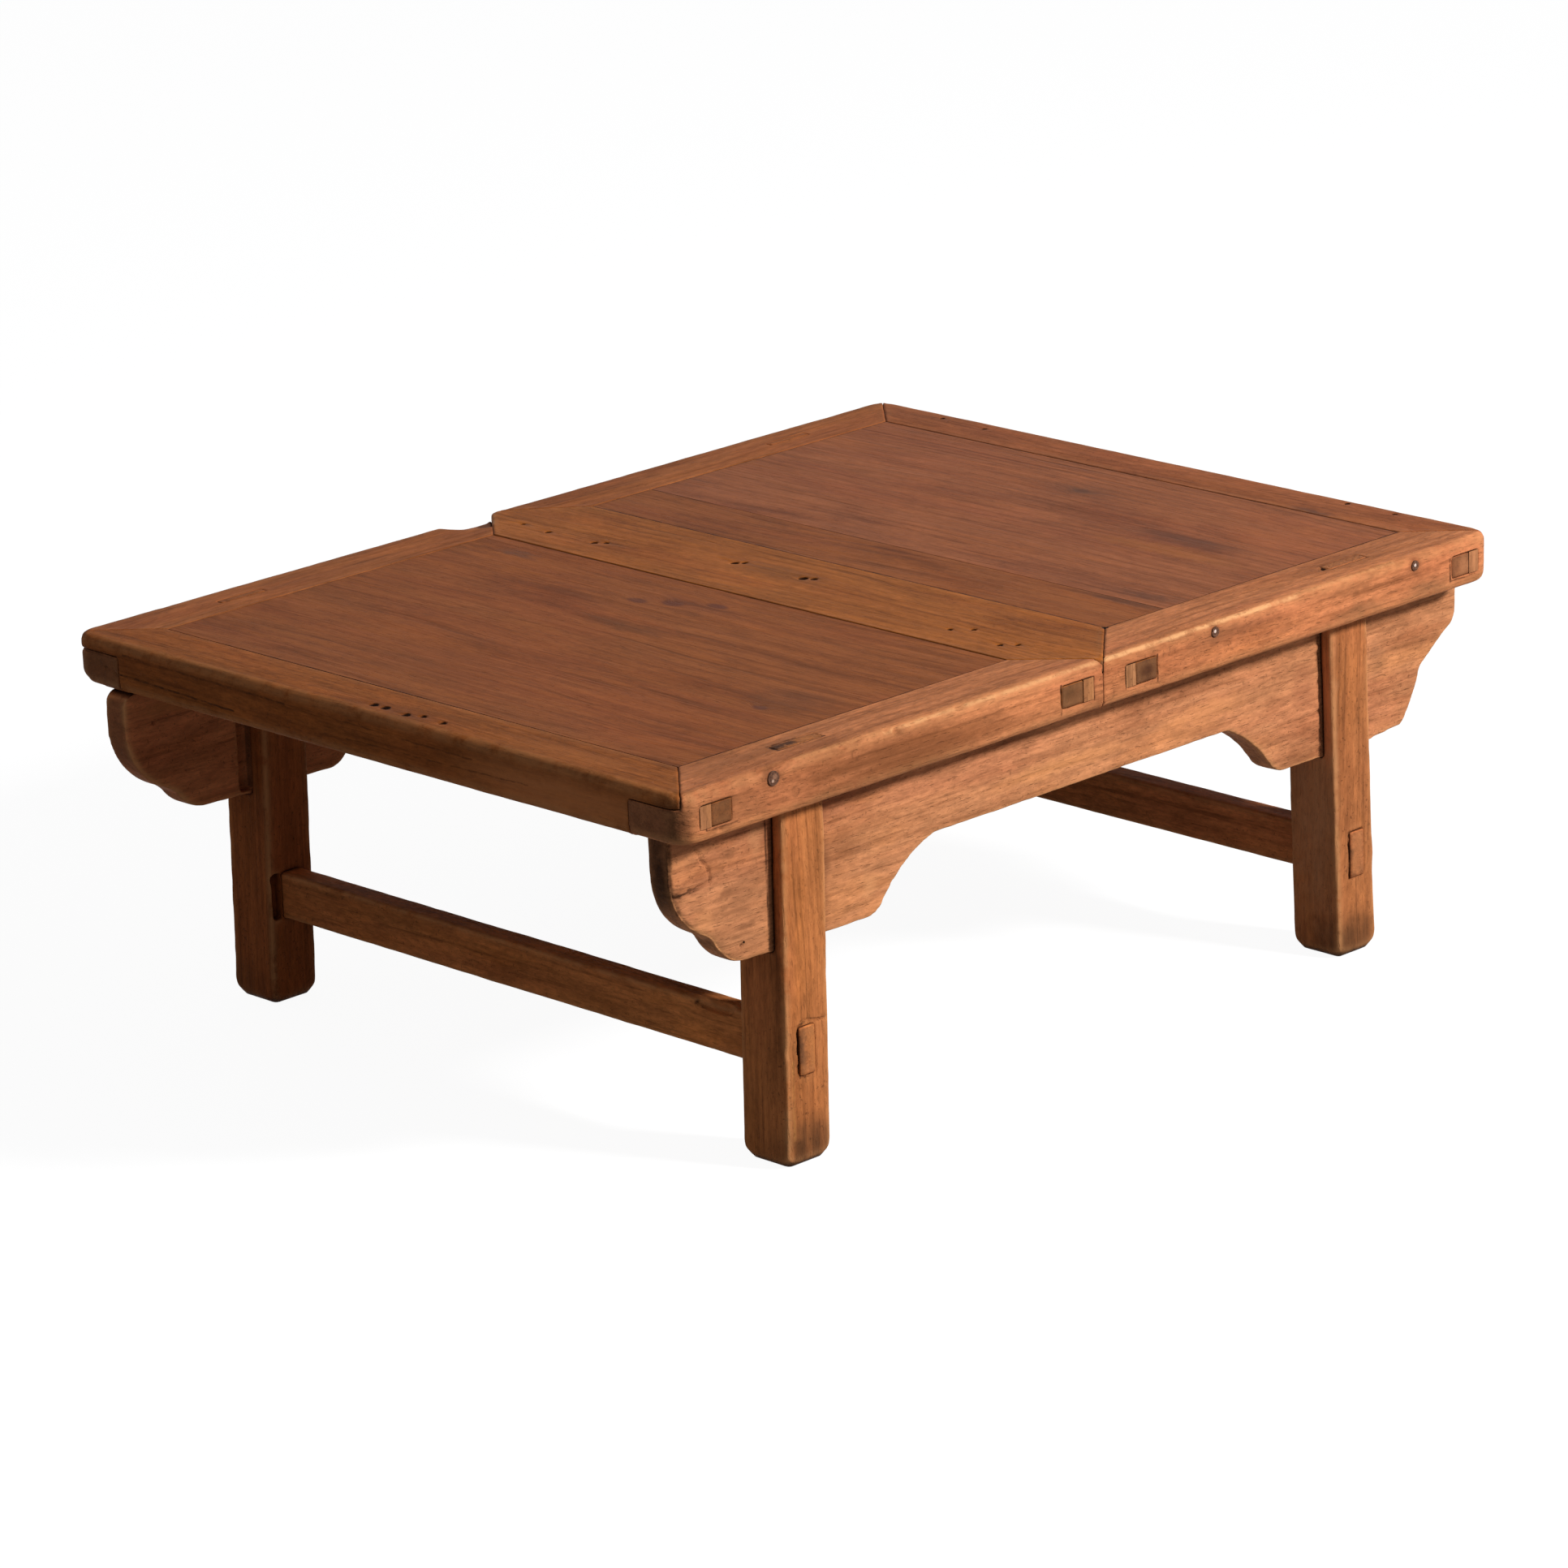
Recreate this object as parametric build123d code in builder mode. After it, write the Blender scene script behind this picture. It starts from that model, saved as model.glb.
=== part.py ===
from build123d import *
import os
from math import radians, tan

os.makedirs("parts", exist_ok=True)

# A low kang table: a framed top split at mid-length by a centre board, two
# cloud-shaped aprons, four bridle-jointed legs and a stretcher at each end.
# Origin on the floor under the middle of the top, X along the length, +Z up.

# ---------------------------------------------------------------- whole table
table_length = 900
table_depth = 682
table_height = 326

# ------------------------------------------------------------------ top frame
frame_thickness = 41
rail_width = 55
end_rail_width = 51
centre_board_width = 109
centre_board_thickness = 34
split_offset = -7            # the half rails meet this far from mid-length
corner_radius = 18           # worn corners, seen from above
top_arris_radius = 7
bottom_arris_radius = 8
mitre_depth = 12             # the mitres are only in this upper layer

# ------------------------------------------------- through tenons of the frame
tenon_thickness = 17.5
end_tenon_width = 21
twin_tenon_width = 24
twin_tenon_edge = 1.5        # wood left beside each twin tenon
wedge_width = 11
wedge_length = 30            # how deep a wedge is driven beside its tenon

# --------------------------------------------------------------------- panels
panel_seam = 0.8             # open joint around every panel
panel_step_down = 0.6        # the panels lie a little below the frame
groove_drop = 5              # wood above the panel groove
groove_height = 7
groove_depth = 8
groove_clearance = 0.3
tongue_end_gap = 1           # left at the bottom of each groove
narrow_board_width = 67
board_seam = 0.5             # shrinkage gap between the two boards

# ----------------------------------------------------------------------- legs
leg_width = 45.5             # along the table
leg_depth = 49.5             # across the table
left_leg_inset = 125.5       # left end of the top to the leg, at the frame
right_leg_inset = 122
leg_edge_inset = 26.5        # front or back edge of the top to the leg
leg_splay = 1.2              # degrees, outwards along the table
leg_arris_radius = 3
foot_radius = 8
front_tongue = 11.5          # wood of the front legs outside the apron
back_tongue = 8

# --------------------------------------------------------------------- aprons
apron_thickness = 24
apron_clearance = 0.2
front_apron_drop = 116       # frame to the lowest part of the apron, at the legs
back_apron_drop = 111
arch_drop = 68               # frame to the top of the arch between the legs
left_drop_width = 43.5       # flat foot of the inner drop beside the left leg
right_drop_width = 35
back_drop_width = 30
drop_shoulder_run = 25
drop_shoulder_rise = 9
drop_shoulder_bulge = 4
left_arch_run = 57           # length of the curve from drop to arch
right_arch_run = 49

# Each spandrel beyond a leg has an upper lobe, a hollow and a lower lobe. Runs
# are shares of the way from the end of the top to the leg and drops are shares
# of the drop of the apron. Bulges are in millimetres.
front_left_tip = 0.175
front_left_side_drop = 0.30
front_left_lobe_run = 0.405
front_left_lobe_drop = 0.73
front_left_lobe_bulge = 8
front_left_notch_run = 0.50
front_left_notch_drop = 0.785
front_left_foot_drop = 0.995
front_right_tip = 0.002
front_right_side_drop = 0.26
front_right_lobe_run = 0.13
front_right_lobe_drop = 0.41
front_right_lobe_bulge = 4
front_right_notch_run = 0.375
front_right_notch_drop = 0.605
front_right_foot_drop = 0.97
back_left_tip = 0.002
back_left_side_drop = 0.23
back_left_lobe_run = 0.33
back_left_lobe_drop = 0.785
back_left_lobe_bulge = 12
back_left_notch_run = 0.40
back_left_notch_drop = 0.845
back_left_foot_drop = 0.99
foot_run = 0.20              # hollow to the underside of the lower lobe
foot_bulge = 3.5

housing_relief_width = 12    # the back apron is cut back beside the left leg
housing_relief_depth = 8

# ----------------------------------------------------------------- stretchers
stretcher_width = 22
stretcher_height = 38
stretcher_centre_height = 90
right_stretcher_drop = 5     # the right-hand one sits lower
stretcher_inset = 12         # outer side of the leg to the stretcher
stretcher_arris_radius = 2
stretcher_tenon_width = 16
stretcher_tenon_setback = 1.5
mortise_overcut = 9          # the back left mortise is cut too long
overcut_depth = 10

# ---------------------------------------------------------- wear and fastenings
wear_radius = 120            # hollow worn in the back edge beside the split
wear_depth = 9.5
wear_from_split = 18
wear_beyond_edge = 8

nail_drop = 8.5              # top of the table to the nails
nail_head_height = 1.2
nail_head_proud = 0.6
nail_shank_radius = 1.6
nail_length = 30
small_head_radius = 4
large_head_radius = 5.5
left_nail_from_end = 93
middle_nail_from_split = 126
right_nail_from_end = 96

# ------------------------------------------------------------- derived values
half_length = table_length / 2
half_depth = table_depth / 2
frame_bottom = table_height - frame_thickness
mitre_level = table_height - mitre_depth
inner_edge = half_depth - rail_width
opening_end = half_length - end_rail_width
board_edge = centre_board_width / 2
tenon_level = mitre_level - tenon_thickness / 2
groove_top = table_height - groove_drop
groove_level = groove_top - groove_height / 2
panel_top = table_height - panel_step_down

leg_outer_y = half_depth - leg_edge_inset
leg_inner_y = leg_outer_y - leg_depth
splay_slope = tan(radians(leg_splay))

end_tenon_x = opening_end + end_tenon_width / 2
end_wedge_x = opening_end + end_tenon_width + wedge_width / 2
twin_tenon_x = board_edge - twin_tenon_edge - twin_tenon_width / 2
twin_wedge_x = board_edge - twin_tenon_edge - twin_tenon_width - wedge_width / 2

# Left and right panel openings: middle and length along the table.
opening_length = opening_end - board_edge
opening_middle = (opening_end + board_edge) / 2


def signs():
    """The four corners of the table as pairs of signs."""
    return [(x, y) for x in (-1, 1) for y in (-1, 1)]


def leg_inset(x):
    """End of the top to the legs of one end of the table."""
    return left_leg_inset if x < 0 else right_leg_inset


def leg_outer_x(x):
    """Outer side face of the legs of one end, at the frame."""
    return half_length - leg_inset(x)


def splayed(height):
    """How far a leg has moved outwards at this height above the floor."""
    return splay_slope * (frame_bottom - height)


def tongue(y):
    """Wood of the legs outside the apron, on the front or the back."""
    return front_tongue if y < 0 else back_tongue


def apron_drop(y):
    """Frame to the lowest part of the front or the back apron."""
    return front_apron_drop if y < 0 else back_apron_drop


def apron_outer_y(y):
    """Outer face of the front or the back apron, from the middle of the table."""
    return leg_outer_y - tongue(y)


# The outside of the whole frame, with its worn corners and arrises.
with BuildPart() as envelope:
    with BuildSketch(Plane.XY.offset(frame_bottom)):
        RectangleRounded(table_length, table_depth, corner_radius)
    extrude(amount=frame_thickness)
    fillet(envelope.faces().sort_by(Axis.Z)[-1].edges(), top_arris_radius)
    fillet(envelope.faces().sort_by(Axis.Z)[0].edges(), bottom_arris_radius)


def slab(level, height, corners):
    """Add a flat layer of the given plan outline to the piece being built."""
    with BuildSketch(Plane.XY.offset(level)) as plan:
        with BuildLine():
            Polyline(*corners, close=True)
        make_face()
    extrude(plan.sketch, amount=height)


def cut_panel_grooves():
    """Cut the grooves that hold the panels from the piece being built."""
    for side in (-1, 1):
        with Locations((side * opening_middle, 0, groove_level)):
            Box(
                opening_length + 2 * groove_depth,
                2 * (inner_edge + groove_depth),
                groove_height,
                mode=Mode.SUBTRACT,
            )


def place_wedges(mode):
    """The blocks beside the through tenons, eight around the frame."""
    wedge_y = half_depth - wedge_length / 2
    for x, y in signs():
        with Locations(
            (x * end_wedge_x, y * wedge_y, tenon_level),
            (x * twin_wedge_x, y * wedge_y, tenon_level),
        ):
            Box(wedge_width, wedge_length, tenon_thickness, mode=mode)


def cut_frame_mortises():
    """Cut every through mortise of the frame from the rail being built."""
    for side in (-1, 1):
        with Locations((side * end_tenon_x, 0, tenon_level)):
            Box(end_tenon_width, table_depth, tenon_thickness, mode=Mode.SUBTRACT)
        with Locations((side * twin_tenon_x, 0, tenon_level)):
            Box(twin_tenon_width, table_depth, tenon_thickness, mode=Mode.SUBTRACT)
    place_wedges(Mode.SUBTRACT)


def leg_tenon_block(x, y, mode):
    """The tenon on the outer tongue of one leg, up through the rail."""
    tenon_x = leg_outer_x(x) - leg_width / 2
    tenon_y = leg_outer_y - tongue(y) / 2
    with Locations((x * tenon_x, y * tenon_y, frame_bottom + frame_thickness / 2)):
        Box(leg_width, tongue(y), frame_thickness, mode=mode)


def place_nail(x, head_radius, mode):
    """One iron nail driven into the front rails."""
    face_y = -half_depth
    head_y = face_y - nail_head_proud + nail_head_height / 2
    shank_y = face_y - nail_head_proud + nail_length / 2
    with Locations(Location((x, head_y, table_height - nail_drop), (90, 0, 0))):
        Cylinder(head_radius, nail_head_height, mode=mode)
    with Locations(Location((x, shank_y, table_height - nail_drop), (90, 0, 0))):
        Cylinder(nail_shank_radius, nail_length, mode=mode)


def place_nails(mode):
    """All three nails of the front edge."""
    place_nail(left_nail_from_end - half_length, large_head_radius, mode)
    place_nail(split_offset + middle_nail_from_split, small_head_radius, mode)
    place_nail(half_length - right_nail_from_end, small_head_radius, mode)


def half_rail(x, y):
    """One half of a long rail, from a corner of the top to the split."""
    with BuildPart() as rail:
        slab(
            frame_bottom,
            frame_thickness - mitre_depth,
            [
                (x * half_length, y * half_depth),
                (x * half_length, y * inner_edge),
                (split_offset, y * inner_edge),
                (split_offset, y * half_depth),
            ],
        )
        slab(
            mitre_level,
            mitre_depth,
            [
                (x * half_length, y * half_depth),
                (x * opening_end, y * inner_edge),
                (x * board_edge, y * inner_edge),
                (split_offset, y * half_depth),
            ],
        )
        add(envelope.part, mode=Mode.INTERSECT)
        cut_panel_grooves()
        cut_frame_mortises()
        leg_tenon_block(x, y, Mode.SUBTRACT)
        place_nails(Mode.SUBTRACT)
    return rail


front_rail_left = half_rail(-1, -1)
front_rail_right = half_rail(1, -1)
back_rail_right = half_rail(1, 1)

with BuildPart() as back_rail_left:
    add(half_rail(-1, 1).part)
    hollow_height = table_height + wear_radius - wear_depth
    with Locations(
        (split_offset - wear_from_split, half_depth + wear_beyond_edge, hollow_height)
    ):
        Sphere(wear_radius, mode=Mode.SUBTRACT)


def end_rail(x):
    """The rail across one end of the top, tenoned through the long rails."""
    with BuildPart() as rail:
        slab(
            frame_bottom,
            frame_thickness - mitre_depth,
            [
                (x * half_length, -inner_edge),
                (x * half_length, inner_edge),
                (x * opening_end, inner_edge),
                (x * opening_end, -inner_edge),
            ],
        )
        slab(
            mitre_level,
            mitre_depth,
            [
                (x * half_length, -half_depth),
                (x * half_length, half_depth),
                (x * opening_end, inner_edge),
                (x * opening_end, -inner_edge),
            ],
        )
        with Locations((x * end_tenon_x, 0, tenon_level)):
            Box(end_tenon_width, table_depth, tenon_thickness)
        add(envelope.part, mode=Mode.INTERSECT)
        cut_panel_grooves()
    return rail


end_rail_left = end_rail(-1)
end_rail_right = end_rail(1)

# The board between the two panels, with pointed ends that run out to the split.
with BuildPart() as centre_board:
    slab(
        table_height - centre_board_thickness,
        centre_board_thickness - mitre_depth,
        [
            (-board_edge, -inner_edge),
            (board_edge, -inner_edge),
            (board_edge, inner_edge),
            (-board_edge, inner_edge),
        ],
    )
    slab(
        mitre_level,
        mitre_depth,
        [
            (split_offset, -half_depth),
            (board_edge, -inner_edge),
            (board_edge, inner_edge),
            (split_offset, half_depth),
            (-board_edge, inner_edge),
            (-board_edge, -inner_edge),
        ],
    )
    for side in (-1, 1):
        with Locations((side * twin_tenon_x, 0, tenon_level)):
            Box(twin_tenon_width, table_depth, tenon_thickness)
    add(envelope.part, mode=Mode.INTERSECT)
    cut_panel_grooves()

with BuildPart() as tenon_wedges:
    place_wedges(Mode.ADD)
    add(envelope.part, mode=Mode.INTERSECT)

with BuildPart() as nails:
    place_nails(Mode.ADD)


def panel_board(left, right, left_tongue, right_tongue):
    """A flush panel board between two x stations, tongued where it is framed."""
    face_bottom = groove_top - groove_clearance
    tongue_length = groove_depth - tongue_end_gap
    tongue_height = groove_height - 2 * groove_clearance
    with BuildPart() as board:
        slab(
            face_bottom,
            panel_top - face_bottom,
            [
                (left, -inner_edge + panel_seam),
                (right, -inner_edge + panel_seam),
                (right, inner_edge - panel_seam),
                (left, inner_edge - panel_seam),
            ],
        )
        slab(
            face_bottom - tongue_height,
            tongue_height,
            [
                (left - left_tongue, -inner_edge - tongue_length),
                (right + right_tongue, -inner_edge - tongue_length),
                (right + right_tongue, inner_edge + tongue_length),
                (left - left_tongue, inner_edge + tongue_length),
            ],
        )
    return board


framed_tongue = groove_depth - tongue_end_gap + panel_seam
narrow_board_right = board_edge + narrow_board_width
left_panel = panel_board(
    -opening_end + panel_seam, -board_edge - panel_seam, framed_tongue, framed_tongue
)
right_panel_narrow_board = panel_board(
    board_edge + panel_seam, narrow_board_right, framed_tongue, 0
)
right_panel_wide_board = panel_board(
    narrow_board_right + board_seam, opening_end - panel_seam, 0, framed_tongue
)


def apron_half(
    x,
    y,
    tip,
    side_drop,
    lobe_run,
    lobe_drop,
    lobe_bulge,
    notch_run,
    notch_drop,
    foot_drop,
    drop_width,
    arch_run,
):
    """One half of an apron: spandrel, leg seat, inner drop and half the arch."""
    inset = leg_inset(x)
    drop = apron_drop(y)

    def point(from_end, below_frame):
        return (x * (half_length - from_end), frame_bottom - below_frame)

    tip_run = tip * inset
    side_foot = point(tip_run, side_drop * drop)
    lobe_end = point(lobe_run * inset, lobe_drop * drop)
    notch = point(notch_run * inset, notch_drop * drop)
    foot = point((notch_run + foot_run) * inset, foot_drop * drop)
    leg_start = point(inset - 2 * splayed(0), drop)
    flat_end = inset + leg_width + drop_width
    shoulder_end = flat_end + drop_shoulder_run
    drop_foot = point(flat_end, drop)
    shoulder = point(shoulder_end, drop - drop_shoulder_rise)
    arch_start = point(shoulder_end + arch_run, arch_drop)
    middle_y = apron_outer_y(y) - apron_thickness / 2
    with BuildSketch(Plane.XZ.offset(-y * middle_y)) as outline:
        with BuildLine():
            Line((0, frame_bottom), point(tip_run, 0))
            Line(point(tip_run, 0), side_foot)
            SagittaArc(side_foot, lobe_end, x * lobe_bulge)
            Line(lobe_end, notch)
            SagittaArc(notch, foot, x * foot_bulge)
            Line(foot, leg_start)
            Line(leg_start, drop_foot)
            drop_arc = SagittaArc(drop_foot, shoulder, x * drop_shoulder_bulge)
            TangentArc(shoulder, arch_start, tangent=drop_arc % 1)
            Line(arch_start, (0, frame_bottom - arch_drop))
            Line((0, frame_bottom - arch_drop), (0, frame_bottom))
        make_face()
    extrude(outline.sketch, amount=apron_thickness / 2, both=True)


with BuildPart() as front_apron:
    apron_half(
        -1,
        -1,
        front_left_tip,
        front_left_side_drop,
        front_left_lobe_run,
        front_left_lobe_drop,
        front_left_lobe_bulge,
        front_left_notch_run,
        front_left_notch_drop,
        front_left_foot_drop,
        left_drop_width,
        left_arch_run,
    )
    apron_half(
        1,
        -1,
        front_right_tip,
        front_right_side_drop,
        front_right_lobe_run,
        front_right_lobe_drop,
        front_right_lobe_bulge,
        front_right_notch_run,
        front_right_notch_drop,
        front_right_foot_drop,
        right_drop_width,
        right_arch_run,
    )

with BuildPart() as back_apron:
    apron_half(
        -1,
        1,
        back_left_tip,
        back_left_side_drop,
        back_left_lobe_run,
        back_left_lobe_drop,
        back_left_lobe_bulge,
        back_left_notch_run,
        back_left_notch_drop,
        back_left_foot_drop,
        back_drop_width,
        left_arch_run,
    )
    apron_half(
        1,
        1,
        back_left_tip,
        back_left_side_drop,
        back_left_lobe_run,
        back_left_lobe_drop,
        back_left_lobe_bulge,
        back_left_notch_run,
        back_left_notch_drop,
        back_left_foot_drop,
        back_drop_width,
        left_arch_run,
    )
    # The inner face is cut back beside the left leg.
    relief_x = -leg_outer_x(-1) - housing_relief_width / 2
    relief_y = apron_outer_y(1) - apron_thickness + housing_relief_depth / 2
    with Locations((relief_x, relief_y, frame_bottom - back_apron_drop / 2)):
        Box(
            housing_relief_width,
            housing_relief_depth,
            back_apron_drop - 2 * leg_arris_radius,
            mode=Mode.SUBTRACT,
        )


def stretcher_face_x(x, height):
    """Outer side face of a stretcher, measured from the middle of the table."""
    return leg_outer_x(x) + splayed(height) - stretcher_inset


def stretcher_tenon_x(x, height):
    """Middle of the tenons of a stretcher, measured from the middle of the table."""
    face_x = stretcher_face_x(x, height)
    return face_x - stretcher_tenon_setback - stretcher_tenon_width / 2


def corner_leg(x, y, height, overcut):
    """One leg: splayed, slotted over the apron and tenoned into the rail."""
    outer_x = leg_outer_x(x)
    outline = [
        (x * outer_x, frame_bottom),
        (x * (outer_x - leg_width), frame_bottom),
        (x * (outer_x - leg_width + splayed(0)), 0),
        (x * (outer_x + splayed(0)), 0),
    ]
    middle_y = leg_outer_y - leg_depth / 2
    slot_x = x * (outer_x - leg_width / 2)
    slot_y = y * (apron_outer_y(y) - apron_thickness / 2)
    with BuildPart() as leg:
        with BuildSketch(Plane.XZ.offset(-y * middle_y)):
            with BuildLine():
                Polyline(*outline, close=True)
            make_face()
        extrude(amount=leg_depth / 2, both=True)
        long_edges = leg.edges().filter_by(lambda edge: edge.length > frame_bottom / 2)
        fillet(long_edges, leg_arris_radius)
        fillet(leg.faces().sort_by(Axis.Z)[0].edges(), foot_radius)
        with Locations((slot_x, slot_y, frame_bottom - apron_drop(y) / 2)):
            Box(
                2 * leg_width,
                apron_thickness + 2 * apron_clearance,
                apron_drop(y),
                mode=Mode.SUBTRACT,
            )
        with Locations((x * stretcher_tenon_x(x, height), y * middle_y, height)):
            Box(stretcher_tenon_width, leg_depth, stretcher_height, mode=Mode.SUBTRACT)
        if overcut > 0:
            overcut_x = stretcher_face_x(x, height) + overcut / 2
            overcut_y = leg_inner_y + overcut_depth / 2
            with Locations((x * overcut_x, y * overcut_y, height)):
                Box(overcut, overcut_depth, stretcher_height, mode=Mode.SUBTRACT)
        leg_tenon_block(x, y, Mode.ADD)
    return leg


right_centre_height = stretcher_centre_height - right_stretcher_drop
front_left_leg = corner_leg(-1, -1, stretcher_centre_height, 0)
front_right_leg = corner_leg(1, -1, right_centre_height, 0)
back_left_leg = corner_leg(-1, 1, stretcher_centre_height, mortise_overcut)
back_right_leg = corner_leg(1, 1, right_centre_height, 0)


def stretcher(x, height):
    """A stretcher between the two legs of one end, tenoned right through them."""
    middle_x = stretcher_face_x(x, height) - stretcher_width / 2
    with BuildPart() as rail:
        with Locations((x * middle_x, 0, height)):
            Box(stretcher_width, 2 * leg_inner_y, stretcher_height)
        fillet(rail.edges().filter_by(Axis.Y), stretcher_arris_radius)
        with Locations((x * stretcher_tenon_x(x, height), 0, height)):
            Box(stretcher_tenon_width, 2 * leg_outer_y, stretcher_height)
    return rail


left_stretcher = stretcher(-1, stretcher_centre_height)
right_stretcher = stretcher(1, right_centre_height)

pieces = {
    "front_rail_left": front_rail_left,
    "front_rail_right": front_rail_right,
    "back_rail_left": back_rail_left,
    "back_rail_right": back_rail_right,
    "end_rail_left": end_rail_left,
    "end_rail_right": end_rail_right,
    "centre_board": centre_board,
    "left_panel": left_panel,
    "right_panel_narrow_board": right_panel_narrow_board,
    "right_panel_wide_board": right_panel_wide_board,
    "front_apron": front_apron,
    "back_apron": back_apron,
    "front_left_leg": front_left_leg,
    "front_right_leg": front_right_leg,
    "back_left_leg": back_left_leg,
    "back_right_leg": back_right_leg,
    "left_stretcher": left_stretcher,
    "right_stretcher": right_stretcher,
    "tenon_wedges": tenon_wedges,
    "nails": nails,
}
for name, piece in pieces.items():
    piece.part.label = name
    export_step(piece.part, "parts/" + name + ".step")
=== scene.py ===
import math

import bpy
import numpy as np
from mathutils import Matrix, Vector
from mathutils.bvhtree import BVHTree


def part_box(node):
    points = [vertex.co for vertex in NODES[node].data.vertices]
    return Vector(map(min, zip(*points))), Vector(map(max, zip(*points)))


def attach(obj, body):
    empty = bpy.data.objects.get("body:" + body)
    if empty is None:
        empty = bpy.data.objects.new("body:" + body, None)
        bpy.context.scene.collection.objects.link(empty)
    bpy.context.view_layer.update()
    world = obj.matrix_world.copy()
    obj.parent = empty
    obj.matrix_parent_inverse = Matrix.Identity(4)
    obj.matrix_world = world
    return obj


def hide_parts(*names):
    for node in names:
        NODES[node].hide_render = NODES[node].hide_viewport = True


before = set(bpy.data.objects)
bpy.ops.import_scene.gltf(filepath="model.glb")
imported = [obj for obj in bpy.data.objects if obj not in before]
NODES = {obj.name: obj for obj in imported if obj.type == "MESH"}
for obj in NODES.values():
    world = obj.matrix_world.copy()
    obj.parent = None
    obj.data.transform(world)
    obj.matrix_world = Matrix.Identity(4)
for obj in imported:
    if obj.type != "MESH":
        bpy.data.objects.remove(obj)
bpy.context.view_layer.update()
BOXES = {name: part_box(name) for name in NODES}


def mm(*values):
    """Millimetres as metres."""
    return tuple(value / 1000 for value in values)


def srgb(*channels):
    """The linear colour of an 8-bit sRGB one."""
    shares = [channel / 255 for channel in channels]
    return tuple(s / 12.92 if s <= 0.04045 else ((s + 0.055) / 1.055) ** 2.4 for s in shares)


def tinted(colour, *shares):
    """A colour times one share, or times one share for each channel."""
    return tuple(c * share for c, share in zip(colour, shares * (3 // len(shares))))


def grey(level):
    """The colour with the same level in each channel."""
    return (level,) * 3


# ------------------------------ node writing
class Graph:
    """Short forms for writing the nodes of a material or a world."""

    def __init__(self, owner):
        self.owner = owner
        owner.use_nodes = True
        self.tree = owner.node_tree
        self.tree.nodes.clear()

    def node(self, kind, inputs=None, **settings):
        made = self.tree.nodes.new("ShaderNode" + kind)
        for key, value in settings.items():
            setattr(made, key, value)
        for key, value in (inputs or {}).items():
            self.put(made.inputs[key], value)
        return made

    def put(self, socket, value):
        if isinstance(value, bpy.types.NodeSocket):
            self.tree.links.new(value, socket)
        elif socket.type == "RGBA" and len(value) == 3:
            socket.default_value = (*value, 1.0)
        else:
            socket.default_value = value

    def math(self, operation, a, b=0.0, c=0.0, clamp=False):
        made = self.node("Math", {0: a, 1: b, 2: c}, operation=operation, use_clamp=clamp)
        return made.outputs[0]

    def times(self, a, b, clamp=False):
        return self.math("MULTIPLY", a, b, clamp=clamp)

    def times_plus(self, a, b, c, clamp=False):
        return self.math("MULTIPLY_ADD", a, b, c, clamp)

    def minus(self, a, b):
        return self.math("SUBTRACT", a, b)

    def greater(self, a, b):
        return self.math("MAXIMUM", a, b)

    def vector(self, operation, a, b=(0, 0, 0)):
        made = self.node("VectorMath", {0: a, 1: b}, operation=operation)
        return made.outputs["Value" if operation in ("LENGTH", "DOT_PRODUCT") else "Vector"]

    def scale(self, vector, share):
        made = self.node("VectorMath", {0: vector, "Scale": share}, operation="SCALE")
        return made.outputs["Vector"]

    def noise(self, place, scale=1.0, detail=3.0, rough=0.5):
        inputs = {"Vector": place, "Scale": scale, "Detail": detail, "Roughness": rough}
        return self.node("TexNoise", inputs).outputs["Fac"]

    def steps(self, value, low, high, out_low=0.0, out_high=1.0):
        """out_low where value is low, rising smoothly to out_high where it is high."""
        inputs = {"Value": value, "From Min": low, "From Max": high, "To Min": out_low, "To Max": out_high}
        return self.node("MapRange", inputs, interpolation_type="SMOOTHSTEP").outputs["Result"]

    def ramp(self, value, stops):
        made = self.node("ValToRGB", {"Fac": value})
        elements = made.color_ramp.elements
        while len(elements) < len(stops):
            elements.new(0.5)
        for element, (position, colour) in zip(elements, stops):
            element.position = position
            element.color = (*colour, 1.0)
        return made.outputs["Color"]

    def mix(self, factor, a, b, blend="MIX"):
        # Inputs 0, 6 and 7 and output 2 are the ones for colours.
        made = self.node("Mix", data_type="RGBA", blend_type=blend)
        self.put(made.inputs[0], factor)
        self.put(made.inputs[6], a)
        self.put(made.inputs[7], b)
        return made.outputs[2]

    def split(self, vector):
        return tuple(self.node("SeparateXYZ", {0: vector}).outputs)

    def join(self, x, y, z):
        return self.node("CombineXYZ", {0: x, 1: y, 2: z}).outputs[0]

    def blob(self, place, centre, radii, inner=0.6, outer=1.2):
        """1 inside an ellipsoid, fading to 0 round it."""
        away = self.vector("SUBTRACT", place, centre)
        away = self.vector("MULTIPLY", away, tuple(1.0 / radius for radius in radii))
        return self.steps(self.vector("LENGTH", away), outer, inner)

    def box(self, place, low, high, edge):
        """1 inside a box, fading to 0 within edge of its faces."""
        centre = tuple((a + b) / 2 for a, b in zip(low, high))
        half = tuple((b - a) / 2 for a, b in zip(low, high))
        from_centre = self.vector("ABSOLUTE", self.vector("SUBTRACT", place, centre))
        x, y, z = self.split(self.vector("SUBTRACT", from_centre, half))
        return self.steps(self.greater(self.greater(x, y), z), edge, -edge)

    def stroke(self, place, start, end, width):
        """1 along a thin line, fading to 0 at width from it."""
        way = Vector(end) - Vector(start)
        away = self.vector("SUBTRACT", place, start)
        along = self.vector("DOT_PRODUCT", away, tuple(way))
        share = self.times(along, 1 / way.length_squared, clamp=True)
        away = self.vector("SUBTRACT", away, self.scale(tuple(way), share))
        return self.steps(self.vector("LENGTH", away), width, 0.2 * width)

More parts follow.
